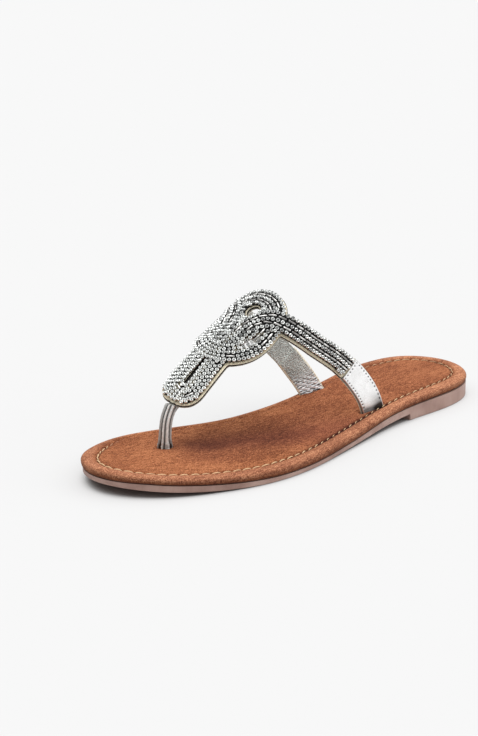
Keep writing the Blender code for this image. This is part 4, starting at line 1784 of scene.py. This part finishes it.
@dataclass
class BeadWork(SubAssembly):
    """Rows of seed and bugle beads sewn along the ribbon and the ring."""

    last: Last
    pattern: KnotPattern
    bed_top: float = 1.0
    row_step: float = 2.05
    rows: tuple[BeadKind, ...] = (*(BeadKind.SEED, BeadKind.BUGLE) * 2, BeadKind.SEED)
    seed_pitch: float = 2.3
    seed_middle: float = 0.68
    seed_wall: float = 0.46
    seed_height: float = 0.7
    bugle_pitch: float = 4.6
    bugle_length: float = 4.25
    bugle_radius: float = 0.52
    bugle_hole: float = 0.26
    hole_depth: float = 0.8
    bugle_chamfer: float = 0.14
    bugle_swell: float = 1.02
    bugle_sides: int = 12
    seed_sides: int = 8
    seed_rings: int = 14
    clear: float = 5.35
    strap_stop: float = 64.6
    fill_step: float = 0.45
    fill_margin: float = 1.55
    fill_hole_margin: float = 1.2
    fill_end: float = 92.0
    fill_batches: int = 40
    fill_gap: float = 1.62
    loose_size: float = 0.86
    fill_bar_gap: float = 1.3
    paired_line: float = 50.0
    paired_share: float = 0.88
    # Painted light: beads brighten towards the toe loop.
    toe_loop_light: float = 0.75
    toe_loop_light_run: float = 25.0
    tilt: float = math.radians(5.5)
    press: float = 0.06
    size_spread: float = 0.045
    side_spread: float = 0.05
    aim: float = 0.6
    probe: float = 0.2

    def seed_shape(self) -> Mesh:
        """A ring bead, its hole along its third axis.

        Returns:
            The bead.
        """
        rings = []
        round_angle = around(self.seed_sides)
        for turn in around(self.seed_rings):
            reach = self.seed_middle + self.seed_wall * np.cos(round_angle)
            height = self.seed_height * np.sin(round_angle)
            rings.append(np.stack([reach * math.cos(turn), reach * math.sin(turn), height], axis=1))
        rings.append(rings[0])
        return lofted(rings, True, False)

    def bugle_shape(self) -> Mesh:
        """A short glass tube along its first axis, with a hole from end to end.

        Returns:
            The bead.
        """
        angle = around(self.bugle_sides)
        across = np.stack([np.cos(angle), np.sin(angle)], axis=1)
        half = self.bugle_length / 2.0
        chamfer = self.bugle_chamfer
        profile = (
            # place along, radius
            (-half + self.hole_depth, self.bugle_hole),
            (-half, self.bugle_hole),
            (-half, self.bugle_radius - chamfer),
            (-half + chamfer, self.bugle_radius),
            (0.0, self.bugle_radius * self.bugle_swell),
            (half - chamfer, self.bugle_radius),
            (half, self.bugle_radius - chamfer),
            (half, self.bugle_hole),
            (half - self.hole_depth, self.bugle_hole),
        )
        rings = [np.insert(radius * across, 0, at, axis=1) for at, radius in profile]
        return lofted(rings, True, True)

    def sewn(self, band: Band, over: Callable[[Array], Array], kind: BeadKind) -> tuple[Array, Array]:
        """Places of one kind of bead on a band.

        Args:
            band: the band.
            over: true at flat points where another band lies on top.
            kind: the kind of bead.

        Returns:
            Flat (across, along, height) places and flat directions of the rows.
        """
        places = []
        ways = []
        pitch = self.seed_pitch if kind is BeadKind.SEED else self.bugle_pitch
        for number, row_kind in enumerate(self.rows):
            if row_kind is not kind:
                continue
            offset = (number - (len(self.rows) - 1) / 2.0) * self.row_step
            points, lift = band.row(offset)
            inside = np.abs(points[:, 0]) < self.strap_stop
            points = points[inside]
            lift = lift[inside]
            run = run_length(points)
            count = int(run[-1] / pitch)
            at = (np.arange(count) + 0.5) * run[-1] / count
            place = read_along(points, run, at)
            way = read_along(points, run, at + self.aim) - read_along(points, run, at - self.aim)
            keep = ~over(place)
            places.append(np.column_stack([place, np.interp(at, run, lift)])[keep])
            ways.append(normalised(way)[keep])
        return np.vstack(places), np.vstack(ways)

    def loose(self, seeds: Array, bars: tuple[Array, Array]) -> tuple[Array, Array]:
        """Seed beads for the places that the rows leave bare.

        Args:
            seeds: flat places of the seed beads already sewn.
            bars: flat places and directions of the bugle beads already sewn.

        Returns:
            Flat places and directions of the extra seed beads.
        """
        taken = [(p[0], p[1], self.fill_gap) for p in seeds]
        for reach in np.linspace(-0.5, 0.5, 6) * self.bugle_length:
            taken += [(p[0], p[1], self.fill_bar_gap) for p in bars[0][:, :2] + reach * bars[1]]
        spots = np.array(taken)
        a = np.arange(-self.strap_stop, self.strap_stop, self.fill_step)
        t = np.arange(0.0, self.fill_end, self.fill_step)
        grid = np.stack(np.meshgrid(a, t, indexing="ij"), axis=-1).reshape(-1, 2)
        grid = grid[self.pattern.inside(grid, self.fill_margin, self.fill_hole_margin) > 0.0]
        room = np.concatenate([
            (np.linalg.norm(spots[None, :, :2] - part[:, None, :], axis=2) - spots[None, :, 2]).min(axis=1)
            for part in np.array_split(grid, self.fill_batches)
        ])
        chosen: list[Array] = []
        for place in grid[room > 0.0][np.argsort(room[room > 0.0])]:
            if all(np.hypot(*(place - other)) > self.fill_gap for other in chosen):
                chosen.append(place)
        extra = np.array(chosen)
        lift = self.pattern.raised(extra, 1.0, 2.0)
        log.info("%d loose seed beads", len(extra))
        return np.column_stack([extra, lift]), np.tile([1.0, 0.0], (len(extra), 1))

    def build(self) -> None:
        """Sews both kinds of bead on both bands."""
        ribbon = self.pattern.ribbon()
        ring = self.pattern.ring()
        centre = self.pattern.ring_centre

        def under_ring(flat: Array) -> Array:
            """True where the ring's lower arc lies over the ribbon."""
            gap, nearest = ring.nearest(flat)
            return (gap < self.clear) & (ring.lift[nearest] > 0.05) & (flat[:, 1] < centre)

        def under_ribbon(flat: Array) -> Array:
            """True where the ribbon lies over the ring."""
            gap, _ = ribbon.nearest(flat)
            return (gap < self.clear) & ~under_ring(flat)

        chance = np.random.default_rng(SEED_OF_CHANCE)
        kinds = (
            (BeadKind.SEED, self.seed_shape(), self.seed_height - self.press, SEED_SILVER),
            (BeadKind.BUGLE, self.bugle_shape(), self.bugle_radius - self.press, BUGLE_SILVER),
        )
        sewn: dict[BeadKind, tuple[Array, Array]] = {}
        for kind in BeadKind:
            runs = (self.sewn(ribbon, under_ring, kind), self.sewn(ring, under_ribbon, kind))
            sewn[kind] = (np.vstack([run[0] for run in runs]), np.vstack([run[1] for run in runs]))
        place, way = sewn[BeadKind.BUGLE]
        paired = (place[:, 1] < self.paired_line) & (chance.random(len(place)) < self.paired_share)
        sewn[BeadKind.BUGLE] = (place[~paired], way[~paired])
        step = 0.25 * self.bugle_pitch * np.column_stack([way, np.zeros(len(way))])[paired]
        pairs = (np.vstack([place[paired] - step, place[paired] + step]), np.vstack([way[paired]] * 2))
        rows = len(sewn[BeadKind.SEED][0])
        seeds = tuple(np.vstack(both) for both in zip(sewn[BeadKind.SEED], pairs))
        extra = self.loose(seeds[0], sewn[BeadKind.BUGLE])
        sewn[BeadKind.SEED] = tuple(np.vstack(both) for both in zip(seeds, extra))
        scale = {kind: np.ones(len(sewn[kind][0])) for kind in BeadKind}
        scale[BeadKind.SEED][rows:] = self.loose_size
        for kind, shape, raised, finish in kinds:
            place, way = sewn[kind]
            place = place + np.array([0.0, 0.0, self.bed_top + raised])
            mesh = self.set_on_last(shape, place, way, scale[kind], chance)
            self.keep(f"{kind.value}_beads", mesh, finish, Slot.BEADED)

    def set_on_last(
        self, shape: Mesh, place: Array, way: Array, scale: Array, chance: np.random.Generator
    ) -> Mesh:
        """Copies a bead to its places, each a little out of true.

        Args:
            shape: the bead.
            place: flat places.
            way: flat directions of the rows there.
            scale: size of each bead against the shape.
            chance: source of the small differences.

        Returns:
            All the beads as one mesh.
        """
        count = len(place)
        origin = self.last.lay(place)
        ahead = self.last.lay(place + np.column_stack([self.probe * way, np.zeros(count)]))
        above = self.last.lay(place + np.array([0.0, 0.0, self.probe]))
        up = normalised(above - origin)
        along = normalised(ahead - origin)
        side = normalised(np.cross(up, along))
        lean = self.tilt * chance.standard_normal((count, 2))
        up = normalised(up + lean[:, :1] * side + lean[:, 1:] * along)
        along = normalised(along - up * np.sum(along * up, axis=1)[:, None])
        side = np.cross(up, along)
        odd = np.clip(chance.standard_normal((count, 3)), -2.0, 2.0)
        sizes = scale[:, None] * (1.0 + self.size_spread * odd)
        origin = origin + self.side_spread * side * chance.standard_normal((count, 1))
        # Painted light: beads towards the toe loop are made brighter.
        painted_light = self.toe_loop_light * smooth((self.paired_line - place[:, 1]) / self.toe_loop_light_run)
        tones = np.maximum(chance.random(count), painted_light)
        return repeated(shape, origin, (along, side, up), sizes, tones)


@dataclass
class StrapTab(SubAssembly):
    """Plain silver end of a strap: a folded sleeve that runs into the footbed, sewn along its edges."""

    last: Last
    straps: StrapLine
    plan: SolePlan
    side: Side
    name: str
    node: str
    start: float = 65.2
    sleeve: float = 1.35
    thin: float = 0.9
    foot_search: tuple[float, float, int] = (10.0, 46.0, 400)
    sleeve_run: float = 9.0
    sink: float = 2.2
    seam_inset: float = 1.35
    hole_pitch: float = 2.15
    last_hole: float = 0.8
    dimple: float = 0.3
    dimple_reach: float = 0.42
    columns: int = 52
    row_step: float = 0.32
    flange: float = 0.15
    edge_groove: float = 0.5
    edge_points: int = 15
    fold_height: float = 6.0
    fold_depth: float = 0.015
    crease_wave: Triple = (5.0, 2.1, 3.1)
    ripples: tuple[Triple, ...] = (
        # height, waves down the tab, waves over its width
        (0.8, 3.3, -5.2),
        (0.7, 2.0, 9.0),
    )
    trough_gain: Span = (1.1, 0.3)
    trough_share: float = 7.0
    trough_fade: float = 1.6
    sleeve_folds: float = 0.4
    cleft_width: float = 0.36
    lip: float = 0.65
    cream_gain: float = 2.5
    # Painted shade on the tabs: dusk down the lining, a dark foot towards the rear corner and a painted
    # shadow in the slot.
    dusk: float = 0.45
    foot_dusk: Span = (0.1, 0.85)
    dusk_side: Span = (-0.4, 1.0)
    foot_reach: float = 9.0
    pit: float = 2.6
    pit_shade: float = 0.65
    lining: float = 0.16
    lining_share: float = 0.95
    lining_lap: float = 0.4
    lining_gap: float = 0.5
    lining_power: int = 20
    rim_power: int = 24
    stitch: Triple = (0.9, 0.26, 0.2)
    stitch_rise: float = 0.02
    probe: float = 0.2

    def laid(self, at: Array, share: Array, height: Array) -> Array:
        """Bent points of the strap at distances across, shares of its width and heights over it."""
        flat = self.straps.strip(self.side, at, share)
        return self.last.lay(np.column_stack([flat, height]))

    def end(self, share: float, level: float) -> float:
        """Place where the tab comes down to a level over the footbed.

        Args:
            share: place over the width, from -1 to 1.
            level: height over the footbed's top.

        Returns:
            The distance across.
        """
        at = self.start + np.linspace(*self.foot_search)
        points = self.laid(at, np.full(len(at), share), np.zeros(len(at)))
        return float(np.interp(-level, self.plan.top(points[:, 0]) - points[:, 2], at))

    def slot(self) -> tuple[Array, Array]:
        """Line where the tab enters the footbed.

        Returns:
            Plan points of its two ends.
        """
        shares = np.array([-1.0, 1.0])
        ends = self.laid(np.array([self.end(share, 0.0) for share in shares]), shares, np.zeros(2))
        return ends[0, :2], ends[1, :2]

    def holes(self) -> Array:
        """Places of the stitches along both edges and the top.

        Returns:
            Rows of a distance across and a distance over the width.
        """
        foot = self.end(0.0, self.last_hole)
        spots = []
        for edge in (-1.0, 1.0):
            down = np.arange(self.start + self.seam_inset, foot, self.hole_pitch)
            spots += [(d, edge * (float(self.straps.half(d)) - self.seam_inset)) for d in down]
        half = float(self.straps.half(self.start)) - self.seam_inset
        count = int(round(2.0 * half / self.hole_pitch))
        over = np.linspace(-half, half, count + 1)[1:-1]
        return np.array(spots + [(self.start + self.seam_inset, w) for w in over])

    def thickness(self, at: Array) -> Array:
        """Half thickness of the sleeve at distances across."""
        return self.thin + (self.sleeve - self.thin) * (1.0 - smooth((at - self.start) / self.sleeve_run))

    def folds(self, at: Array, over: Array, stop: Array) -> tuple[Array, Array, Array]:
        """Crinkles at the tab's foot.

        Args:
            at: distances across.
            over: places over the width, from -1 to 1.
            stop: distances across where the tab ends.

        Returns:
            Heights of the folds, shade in their troughs and nearness to the foot from 0 to 1.
        """
        foot = smooth(1.0 - (stop - self.sink - at) / self.fold_height)
        back = stop - at
        pitch, wander, bend = self.crease_wave
        broad, fine = [size * np.sin(down * back + across * over) for size, down, across in self.ripples]
        wave = np.sin(pitch * back + wander * np.sin(bend * over)) + broad
        gain, start = self.trough_gain
        trough = smooth(-gain * wave - start) * min(1.0, self.trough_share * self.fold_depth)
        return self.fold_depth * foot * (wave + fine), smooth(self.trough_fade * foot) * trough, foot

    def build(self) -> None:
        """Makes the sleeve, the lining on its back and its stitches."""
        low_ends = [self.end(share, -self.sink) for share in (-1.0, 0.0, 1.0)]
        rows = int((max(low_ends) - self.start) / self.row_step)
        holes = self.holes()
        over = np.linspace(-1.0, 1.0, self.columns)
        stop = np.interp(over, (-1.0, 0.0, 1.0), low_ends)
        edge_angles = np.linspace(0.0, math.pi, self.edge_points + 2)[1:-1]
        cleft = np.exp(-(((edge_angles - math.pi / 2.0) / self.cleft_width) ** 2))
        rings = []
        painted_shade = []
        raw = []
        for u in np.linspace(0.0, 1.0, rows):
            at = self.start + (stop - self.start) * u
            thick = self.thickness(at)
            width = self.straps.half(at) + self.flange
            inner = 1.0 - thick / width
            spot = np.stack([at, over * inner * self.straps.half(at)], axis=1)
            gap = np.linalg.norm(spot[:, None, :] - holes[None, :, :], axis=2).min(axis=1)
            dent = np.exp(-((gap / self.dimple_reach) ** 2))
            fold, creased, _ = [self.sleeve_folds * part for part in self.folds(at, over, stop)]
            # Painted shade at the dimples and in the crease troughs, towards the foot and its rear corner,
            # and a painted shadow where the tab enters the footbed.
            low, high = self.foot_dusk
            near = smooth(1.0 - (stop - self.sink - at) / self.foot_reach)
            dusk = near * (low + (high - low) * eased(over, *self.dusk_side))
            dusk = dusk + self.pit_shade * smooth(1.0 - (stop - self.sink - at) / self.pit)
            face = self.laid(at, over * inner, thick - self.dimple * dent + fold)
            back = self.laid(at, over * inner, self.dimple * dent - thick + fold)[::-1]
            shade = np.clip(dent + creased + dusk, 0.0, 1.0)
            ring = [face]
            dark = [shade]
            cream = [np.zeros(self.columns)]
            for end_index, sign in ((-1, 1.0), (0, -1.0)):
                half_thick = thick[end_index]
                bulge = half_thick * np.sin(edge_angles) - self.edge_groove * cleft
                bulge = bulge + self.lip * smooth(-2.0 * np.cos(edge_angles) * sign)
                share = sign * (inner[end_index] + bulge / width[end_index])
                heights = half_thick * np.cos(edge_angles) * sign + fold[end_index]
                ring.append(self.laid(np.full(len(share), at[end_index]), share, heights))
                # Painted shade in the cleft along the edge.
                dark.append(cleft)
                cream.append(smooth(-self.cream_gain * np.cos(edge_angles) * sign))
                if sign > 0.0:
                    ring.append(back)
                    dark.append(shade[::-1])
                    cream.append(np.zeros(self.columns))
            rings.append(np.vstack(ring))
            painted_shade.append(np.concatenate(dark))
            raw.append(np.concatenate(cream))
        skin = lofted(rings, True, True)
        skin.traits["painted_shade"] = np.concatenate(painted_shade)
        skin.traits["edge"] = np.concatenate(raw)
        self.keep(self.name, skin, TAB_FOIL, Slot.SILVER, self.node)
        self.line(stop)
        self.sew(holes)

    def line(self, stop: Array) -> None:
        """Lays the lining sheet on the back of the tab, brighter at its foot: partly bare foil, partly a
        painted highlight on its crinkles.

        Args:
            stop: distances across where the tab ends, over its width.
        """
        over = np.linspace(-1.0, 1.0, self.columns)
        rows = int((np.max(stop) - self.start) / self.row_step)
        rings = []
        bare_and_glint = []
        painted_shade = []
        none = np.zeros(self.columns)
        for u in np.linspace(0.0, 1.0, rows):
            at = self.start - self.lining_lap + (stop - self.lining_gap - self.start) * u
            thick = self.thickness(at)
            fold, creased, foot = self.folds(at, over, stop)
            rise = self.lining * np.sqrt(1.0 - over ** self.lining_power) if 0.0 < u < 1.0 else none
            share = over * self.lining_share
            outer = self.laid(at, share, fold - thick - rise)
            under = self.laid(at, share, fold - thick + self.lining)[::-1]
            rings.append(np.vstack([outer, under]))
            # Painted shade: darker down the lining short of its foot, towards its toe-side edge and in the
            # crease troughs.
            dusk = self.dusk * (1.0 - foot) * u * smooth(0.5 - over)
            bare_and_glint.append(np.concatenate([foot, none]))
            painted_shade.append(np.concatenate([np.clip(dusk + creased, 0.0, 1.0), none]))
        skin = lofted(rings, True, True)
        skin.traits["edge"] = np.tile(np.concatenate([over ** self.rim_power, none + 1.0]), len(rings))
        skin.traits["bare_and_glint"] = np.concatenate(bare_and_glint)
        skin.traits["painted_shade"] = np.concatenate(painted_shade)
        self.keep(f"{self.name}_lining", skin, LINING, Slot.SILVER)

    def sew(self, holes: Array) -> None:
        """Sets a short dark stitch in each hole, on both faces.

        Args:
            holes: places of the stitches.
        """
        count = len(holes)
        at = holes[:, 0]
        thick = self.thickness(at)
        share = holes[:, 1] / self.straps.half(at)
        origins = []
        axes: tuple[list[Array], list[Array], list[Array]] = ([], [], [])
        for face in (1.0, -1.0):
            height = face * (thick - self.dimple - self.stitch_rise)
            origin = self.laid(at, share, height)
            along = normalised(self.laid(at + self.probe, share, height) - origin)
            up = normalised(self.laid(at, share, height + face * self.probe) - origin)
            origins.append(origin)
            for store, axis in zip(axes, (along, normalised(np.cross(up, along)), up)):
                store.append(axis)
        shape = stitch_shape(*self.stitch)
        frames = tuple(np.vstack(store) for store in axes)
        tones = np.linspace(0.0, 1.0, 2 * count)
        mesh = repeated(shape, np.vstack(origins), frames, np.ones((2 * count, 3)), tones)
        self.keep(f"{self.name}_stitches", mesh, GREY_THREAD, Slot.SILVER)


@dataclass
class ToePost(SubAssembly):
    """Folded leather post between the toes, ridged along its length and gathered at its foot."""

    last: Last
    plan: SolePlan
    path: tuple[Triple, ...] = (
        # forward, side, height
        (-74.2, 15.2, 3.9),
        (-73.9, 15.2, 14.0),
        (-72.6, 15.2, 22.0),
        (-69.0, 15.1, 29.0),
        (-61.5, 15.0, 37.0),
    )
    long_half: float = 3.55
    wide_half: float = 2.6
    square: float = 2.4
    sides: int = 64
    step: float = 0.35
    folds: tuple[Span, ...] = (
        # angle of a fold in degrees, painted shade of the strip that follows it
        (20.0, 0.2),
        (75.0, 0.25),
        (138.0, 0.55),
        (190.0, 0.0),
        (236.0, 0.15),
        (286.0, 0.5),
        (330.0, 0.2),
    )
    fold_depth: float = 0.28
    fold_width: float = 0.24
    flare: float = 5.0
    flare_start: float = 20.0
    flare_run: float = 10.0
    gather_height: float = 3.2
    gather_swell: float = 0.16
    gather_folds: int = 9
    gather_turn: float = 0.4
    gather_shade: Span = (0.25, 0.35)
    pleat_depth: float = 0.09
    twist: Span = (0.06, 0.11)
    crinkles: tuple[Triple, ...] = (
        # height, waves up the post, waves round it
        (0.008, 2.3, 3.0),
        (0.006, 3.9, -5.0),
    )
    under: float = -1.0
    tip_rise: float = 1.2
    flat_run: float = 6.0
    flat_share: float = 0.8

    def foot(self) -> Array:
        """Plan point where the post enters the footbed."""
        return np.array(self.path[0][:2])

    def build(self) -> None:
        """Sweeps the folded section up the post's path."""
        path = np.array(self.path)
        run = run_length(path)
        at = np.linspace(2.0, run[-1], int(run[-1] / self.step))
        line = hermite(run, path, at)
        along = normalised(np.gradient(line, axis=0))
        back = np.stack([along[:, 2], np.zeros(len(at)), -along[:, 0]], axis=1)
        angle = around(self.sides)
        bed = float(self.plan.top(np.array([path[0, 0]]))[0])
        power = 2.0 / self.square
        creases = np.radians([fold[0] for fold in self.folds])
        shades = np.array([fold[1] for fold in self.folds])
        rings = []
        painted_shade = []
        for i, height in enumerate(line[:, 2]):
            twist = self.twist[0] * math.sin(self.twist[1] * at[i])
            turned = np.mod(angle + twist - creases[0], 2.0 * math.pi) + creases[0]
            fold = np.max(np.exp(-(((turned[:, None] - creases) / self.fold_width) ** 2)), axis=1)
            strip = shades[np.searchsorted(creases, turned, side="right") - 1]
            gather = math.exp(-((max(0.0, height - bed) / self.gather_height) ** 2))
            pleat = np.cos(self.gather_folds * angle + self.gather_turn)
            crinkle = sum(size * np.sin(up * at[i] + about * angle) for size, up, about in self.crinkles)
            reach = 1.0 - self.fold_depth * fold + crinkle * (1.0 + 2.0 * gather)
            reach += gather * (self.gather_swell + self.pleat_depth * pleat)
            u = self.long_half * np.sign(np.cos(angle)) * np.abs(np.cos(angle)) ** power * reach
            rise = min(1.0, max(0.0, (at[i] - self.flare_start) / self.flare_run))
            u = u + self.flare * rise * rise * np.clip(u / self.long_half, 0.0, 1.0)
            w = self.wide_half * np.sign(np.sin(angle)) * np.abs(np.sin(angle)) ** power * reach
            ring = line[i] + back[i] * u[:, None] + np.array([0.0, 1.0, 0.0]) * w[:, None]
            thin = self.flat_share * float(smooth((at[i] - run[-1] + self.flat_run) / self.flat_run))
            rings.append(self.tucked(ring, thin))
            # Painted shade on the fold lines, the strips and the pleat troughs, and painted light on the
            # pleat crests.
            shade, light = self.gather_shade
            painted_shade.append(np.clip(np.maximum(fold, strip) + gather * (shade - light * pleat), 0.0, 1.0))
        skin = lofted(rings, True, True)
        skin.traits["painted_shade"] = np.concatenate(painted_shade)
        self.keep("toe_post_leather", skin, POST_FOIL, Slot.SILVER, "toe_post")

    def tucked(self, ring: Array, thin: float) -> Array:
        """Presses points that would stand above the lining down to it, and lets those ahead of it rise.

        Args:
            ring: points of a section.
            thin: how far the points below the lining are drawn up to it, from 0 to 1.

        Returns:
            The moved points.
        """
        ridge, _, up, length = self.last.axes()
        from_foot = ring - np.array(self.last.ridge_foot)
        along = from_foot @ ridge
        swell = self.last.ridge_swell * np.sin(math.pi * np.clip(along, 0.0, length) / length)
        limit = swell + self.under + self.tip_rise * np.clip(-along, 0.0, None)
        over = from_foot @ up - limit
        return ring - np.where(over > 0.0, over, thin * over)[:, None] * up


@dataclass(frozen=True)
class Studio:
    """Pale floor, soft light from above and the camera at the photograph's angle."""

    eye: Triple = (-574.78, -570.29, 285.76)
    target: Triple = (-38.12, 0.47, 43.64)
    roll: float = math.radians(-0.459)
    focal_pixels: float = 1662.04
    picture_height: float = 736.0
    sensor: float = 36.0
    floor_half: float = 6.0
    floor_tone: float = 0.31
    floor_glow: float = 0.48
    contact: float = 30.0
    contact_span: Span = (0.25, 0.58)
    ceiling_span: Span = (0.34, 0.74)
    key_span: Span = (0.93, 0.985)
    box_span: Span = (0.8, 0.93)
    top_light: float = 1.4
    low_light: float = 0.2
    key_light: float = 4.0
    box_light: float = 1.5
    box_way: Triple = (0.65, -0.73, 0.2)

    def camera(self) -> None:
        """Sets up the camera."""
        data = bpy.data.cameras.new("camera")
        data.sensor_width = self.sensor
        data.lens = self.focal_pixels * self.sensor / self.picture_height
        data.clip_start = 0.01
        data.clip_end = 50.0
        item = bpy.data.objects.new("camera", data)
        bpy.context.scene.collection.objects.link(item)
        eye = Vector(self.eye)
        facing = (Vector(self.target) - eye).to_track_quat("-Z", "Y").to_matrix().to_4x4()
        item.matrix_world = Matrix.Translation(eye * MM) @ facing @ Matrix.Rotation(self.roll, 4, "Z")
        bpy.context.scene.camera = item

    def floor(self) -> None:
        """Lays the floor, which glows; ambient occlusion dims the glow near the shoe, a painted contact
        shadow.
        """
        half = self.floor_half
        corners = [(x * half, y * half, 0.0) for x, y in ((-1, -1), (1, -1), (1, 1), (-1, 1))]
        data = bpy.data.meshes.new("floor")
        data.from_pydata(corners, [], [[0, 1, 2, 3]])
        shade = Shade("floor_paint")
        shade.set(base_color=(self.floor_tone,) * 3, roughness=0.9, specular_ior_level=0.1)
        near = shade.node("ShaderNodeAmbientOcclusion")
        near.inputs["Distance"].default_value = self.contact * MM
        glow = shade.spread(near.outputs["AO"], self.contact_span, (0.0, self.floor_glow))
        shade.set(emission_color=(1.0, 1.0, 1.0), emission_strength=glow)
        data.materials.append(shade.material)
        item = bpy.data.objects.new("floor", data)
        bpy.context.scene.collection.objects.link(item)

    def light(self) -> None:
        """Lights the scene from a bright ceiling, a soft box to the right and darker walls."""
        world = bpy.data.worlds.new("studio")
        bpy.context.scene.world = world
        nodes = NodeTree(world)
        way = nodes.node("ShaderNodeTexCoord").outputs["Generated"]
        split = nodes.node("ShaderNodeSeparateXYZ")
        nodes.feed(split.inputs[0], way)
        facing = nodes.node("ShaderNodeVectorMath", operation="DOT_PRODUCT")
        nodes.feed(facing.inputs[0], way)
        facing.inputs[1].default_value = Vector(self.box_way).normalized()
        lamps = (
            # what is spread, over which span, darkest and brightest
            (split.outputs["Z"], self.ceiling_span, (self.low_light, self.top_light)),
            (split.outputs["Z"], self.key_span, (0.0, self.key_light)),
            (facing.outputs["Value"], self.box_span, (0.0, self.box_light)),
        )
        lit = nodes.sum(*((nodes.spread(*lamp, Falloff.SOFT), 1.0) for lamp in lamps))
        background = world.node_tree.nodes["Background"]
        background.inputs["Color"].default_value = (1.0, 1.0, 1.0, 1.0)
        nodes.feed(background.inputs["Strength"], lit)
        bpy.context.scene.view_settings.view_transform = "Standard"

    def build(self) -> None:
        """Sets up floor, light and camera."""
        self.floor()
        self.light()
        self.camera()


def main() -> None:
    """Builds the shoe's sub-assemblies in the order that a maker would, then the studio."""
    logging.basicConfig(level=logging.INFO, format="%(name)s: %(message)s")
    plan = SolePlan()
    net = SoleNet(plan)
    last = Last()
    straps = StrapLine()
    pattern = KnotPattern(straps)
    post = ToePost(last, plan)
    crumpled = {"fold_height": 17.0, "fold_depth": 0.2}
    tabs = [
        StrapTab(last, straps, plan, Side.OUTER, "tab_outer", "strap_tab_lateral"),
        StrapTab(last, straps, plan, Side.INNER, "tab_inner", "strap_tab_medial", **crumpled),
    ]
    slots = [tab.slot() for tab in tabs] + [(post.foot(), post.foot())]
    sole = [Outsole(net), Footbed(net, slots)]
    panel = [StrapPanel(last, pattern), BeadWork(last, pattern)]
    for part in (*sole, *panel, post, *tabs):
        part.build()
        log.info("%s ready: %s", type(part).__name__, ", ".join(piece.name for piece in part.made))
    Studio().build()


if __name__ == "__main__":
    main()
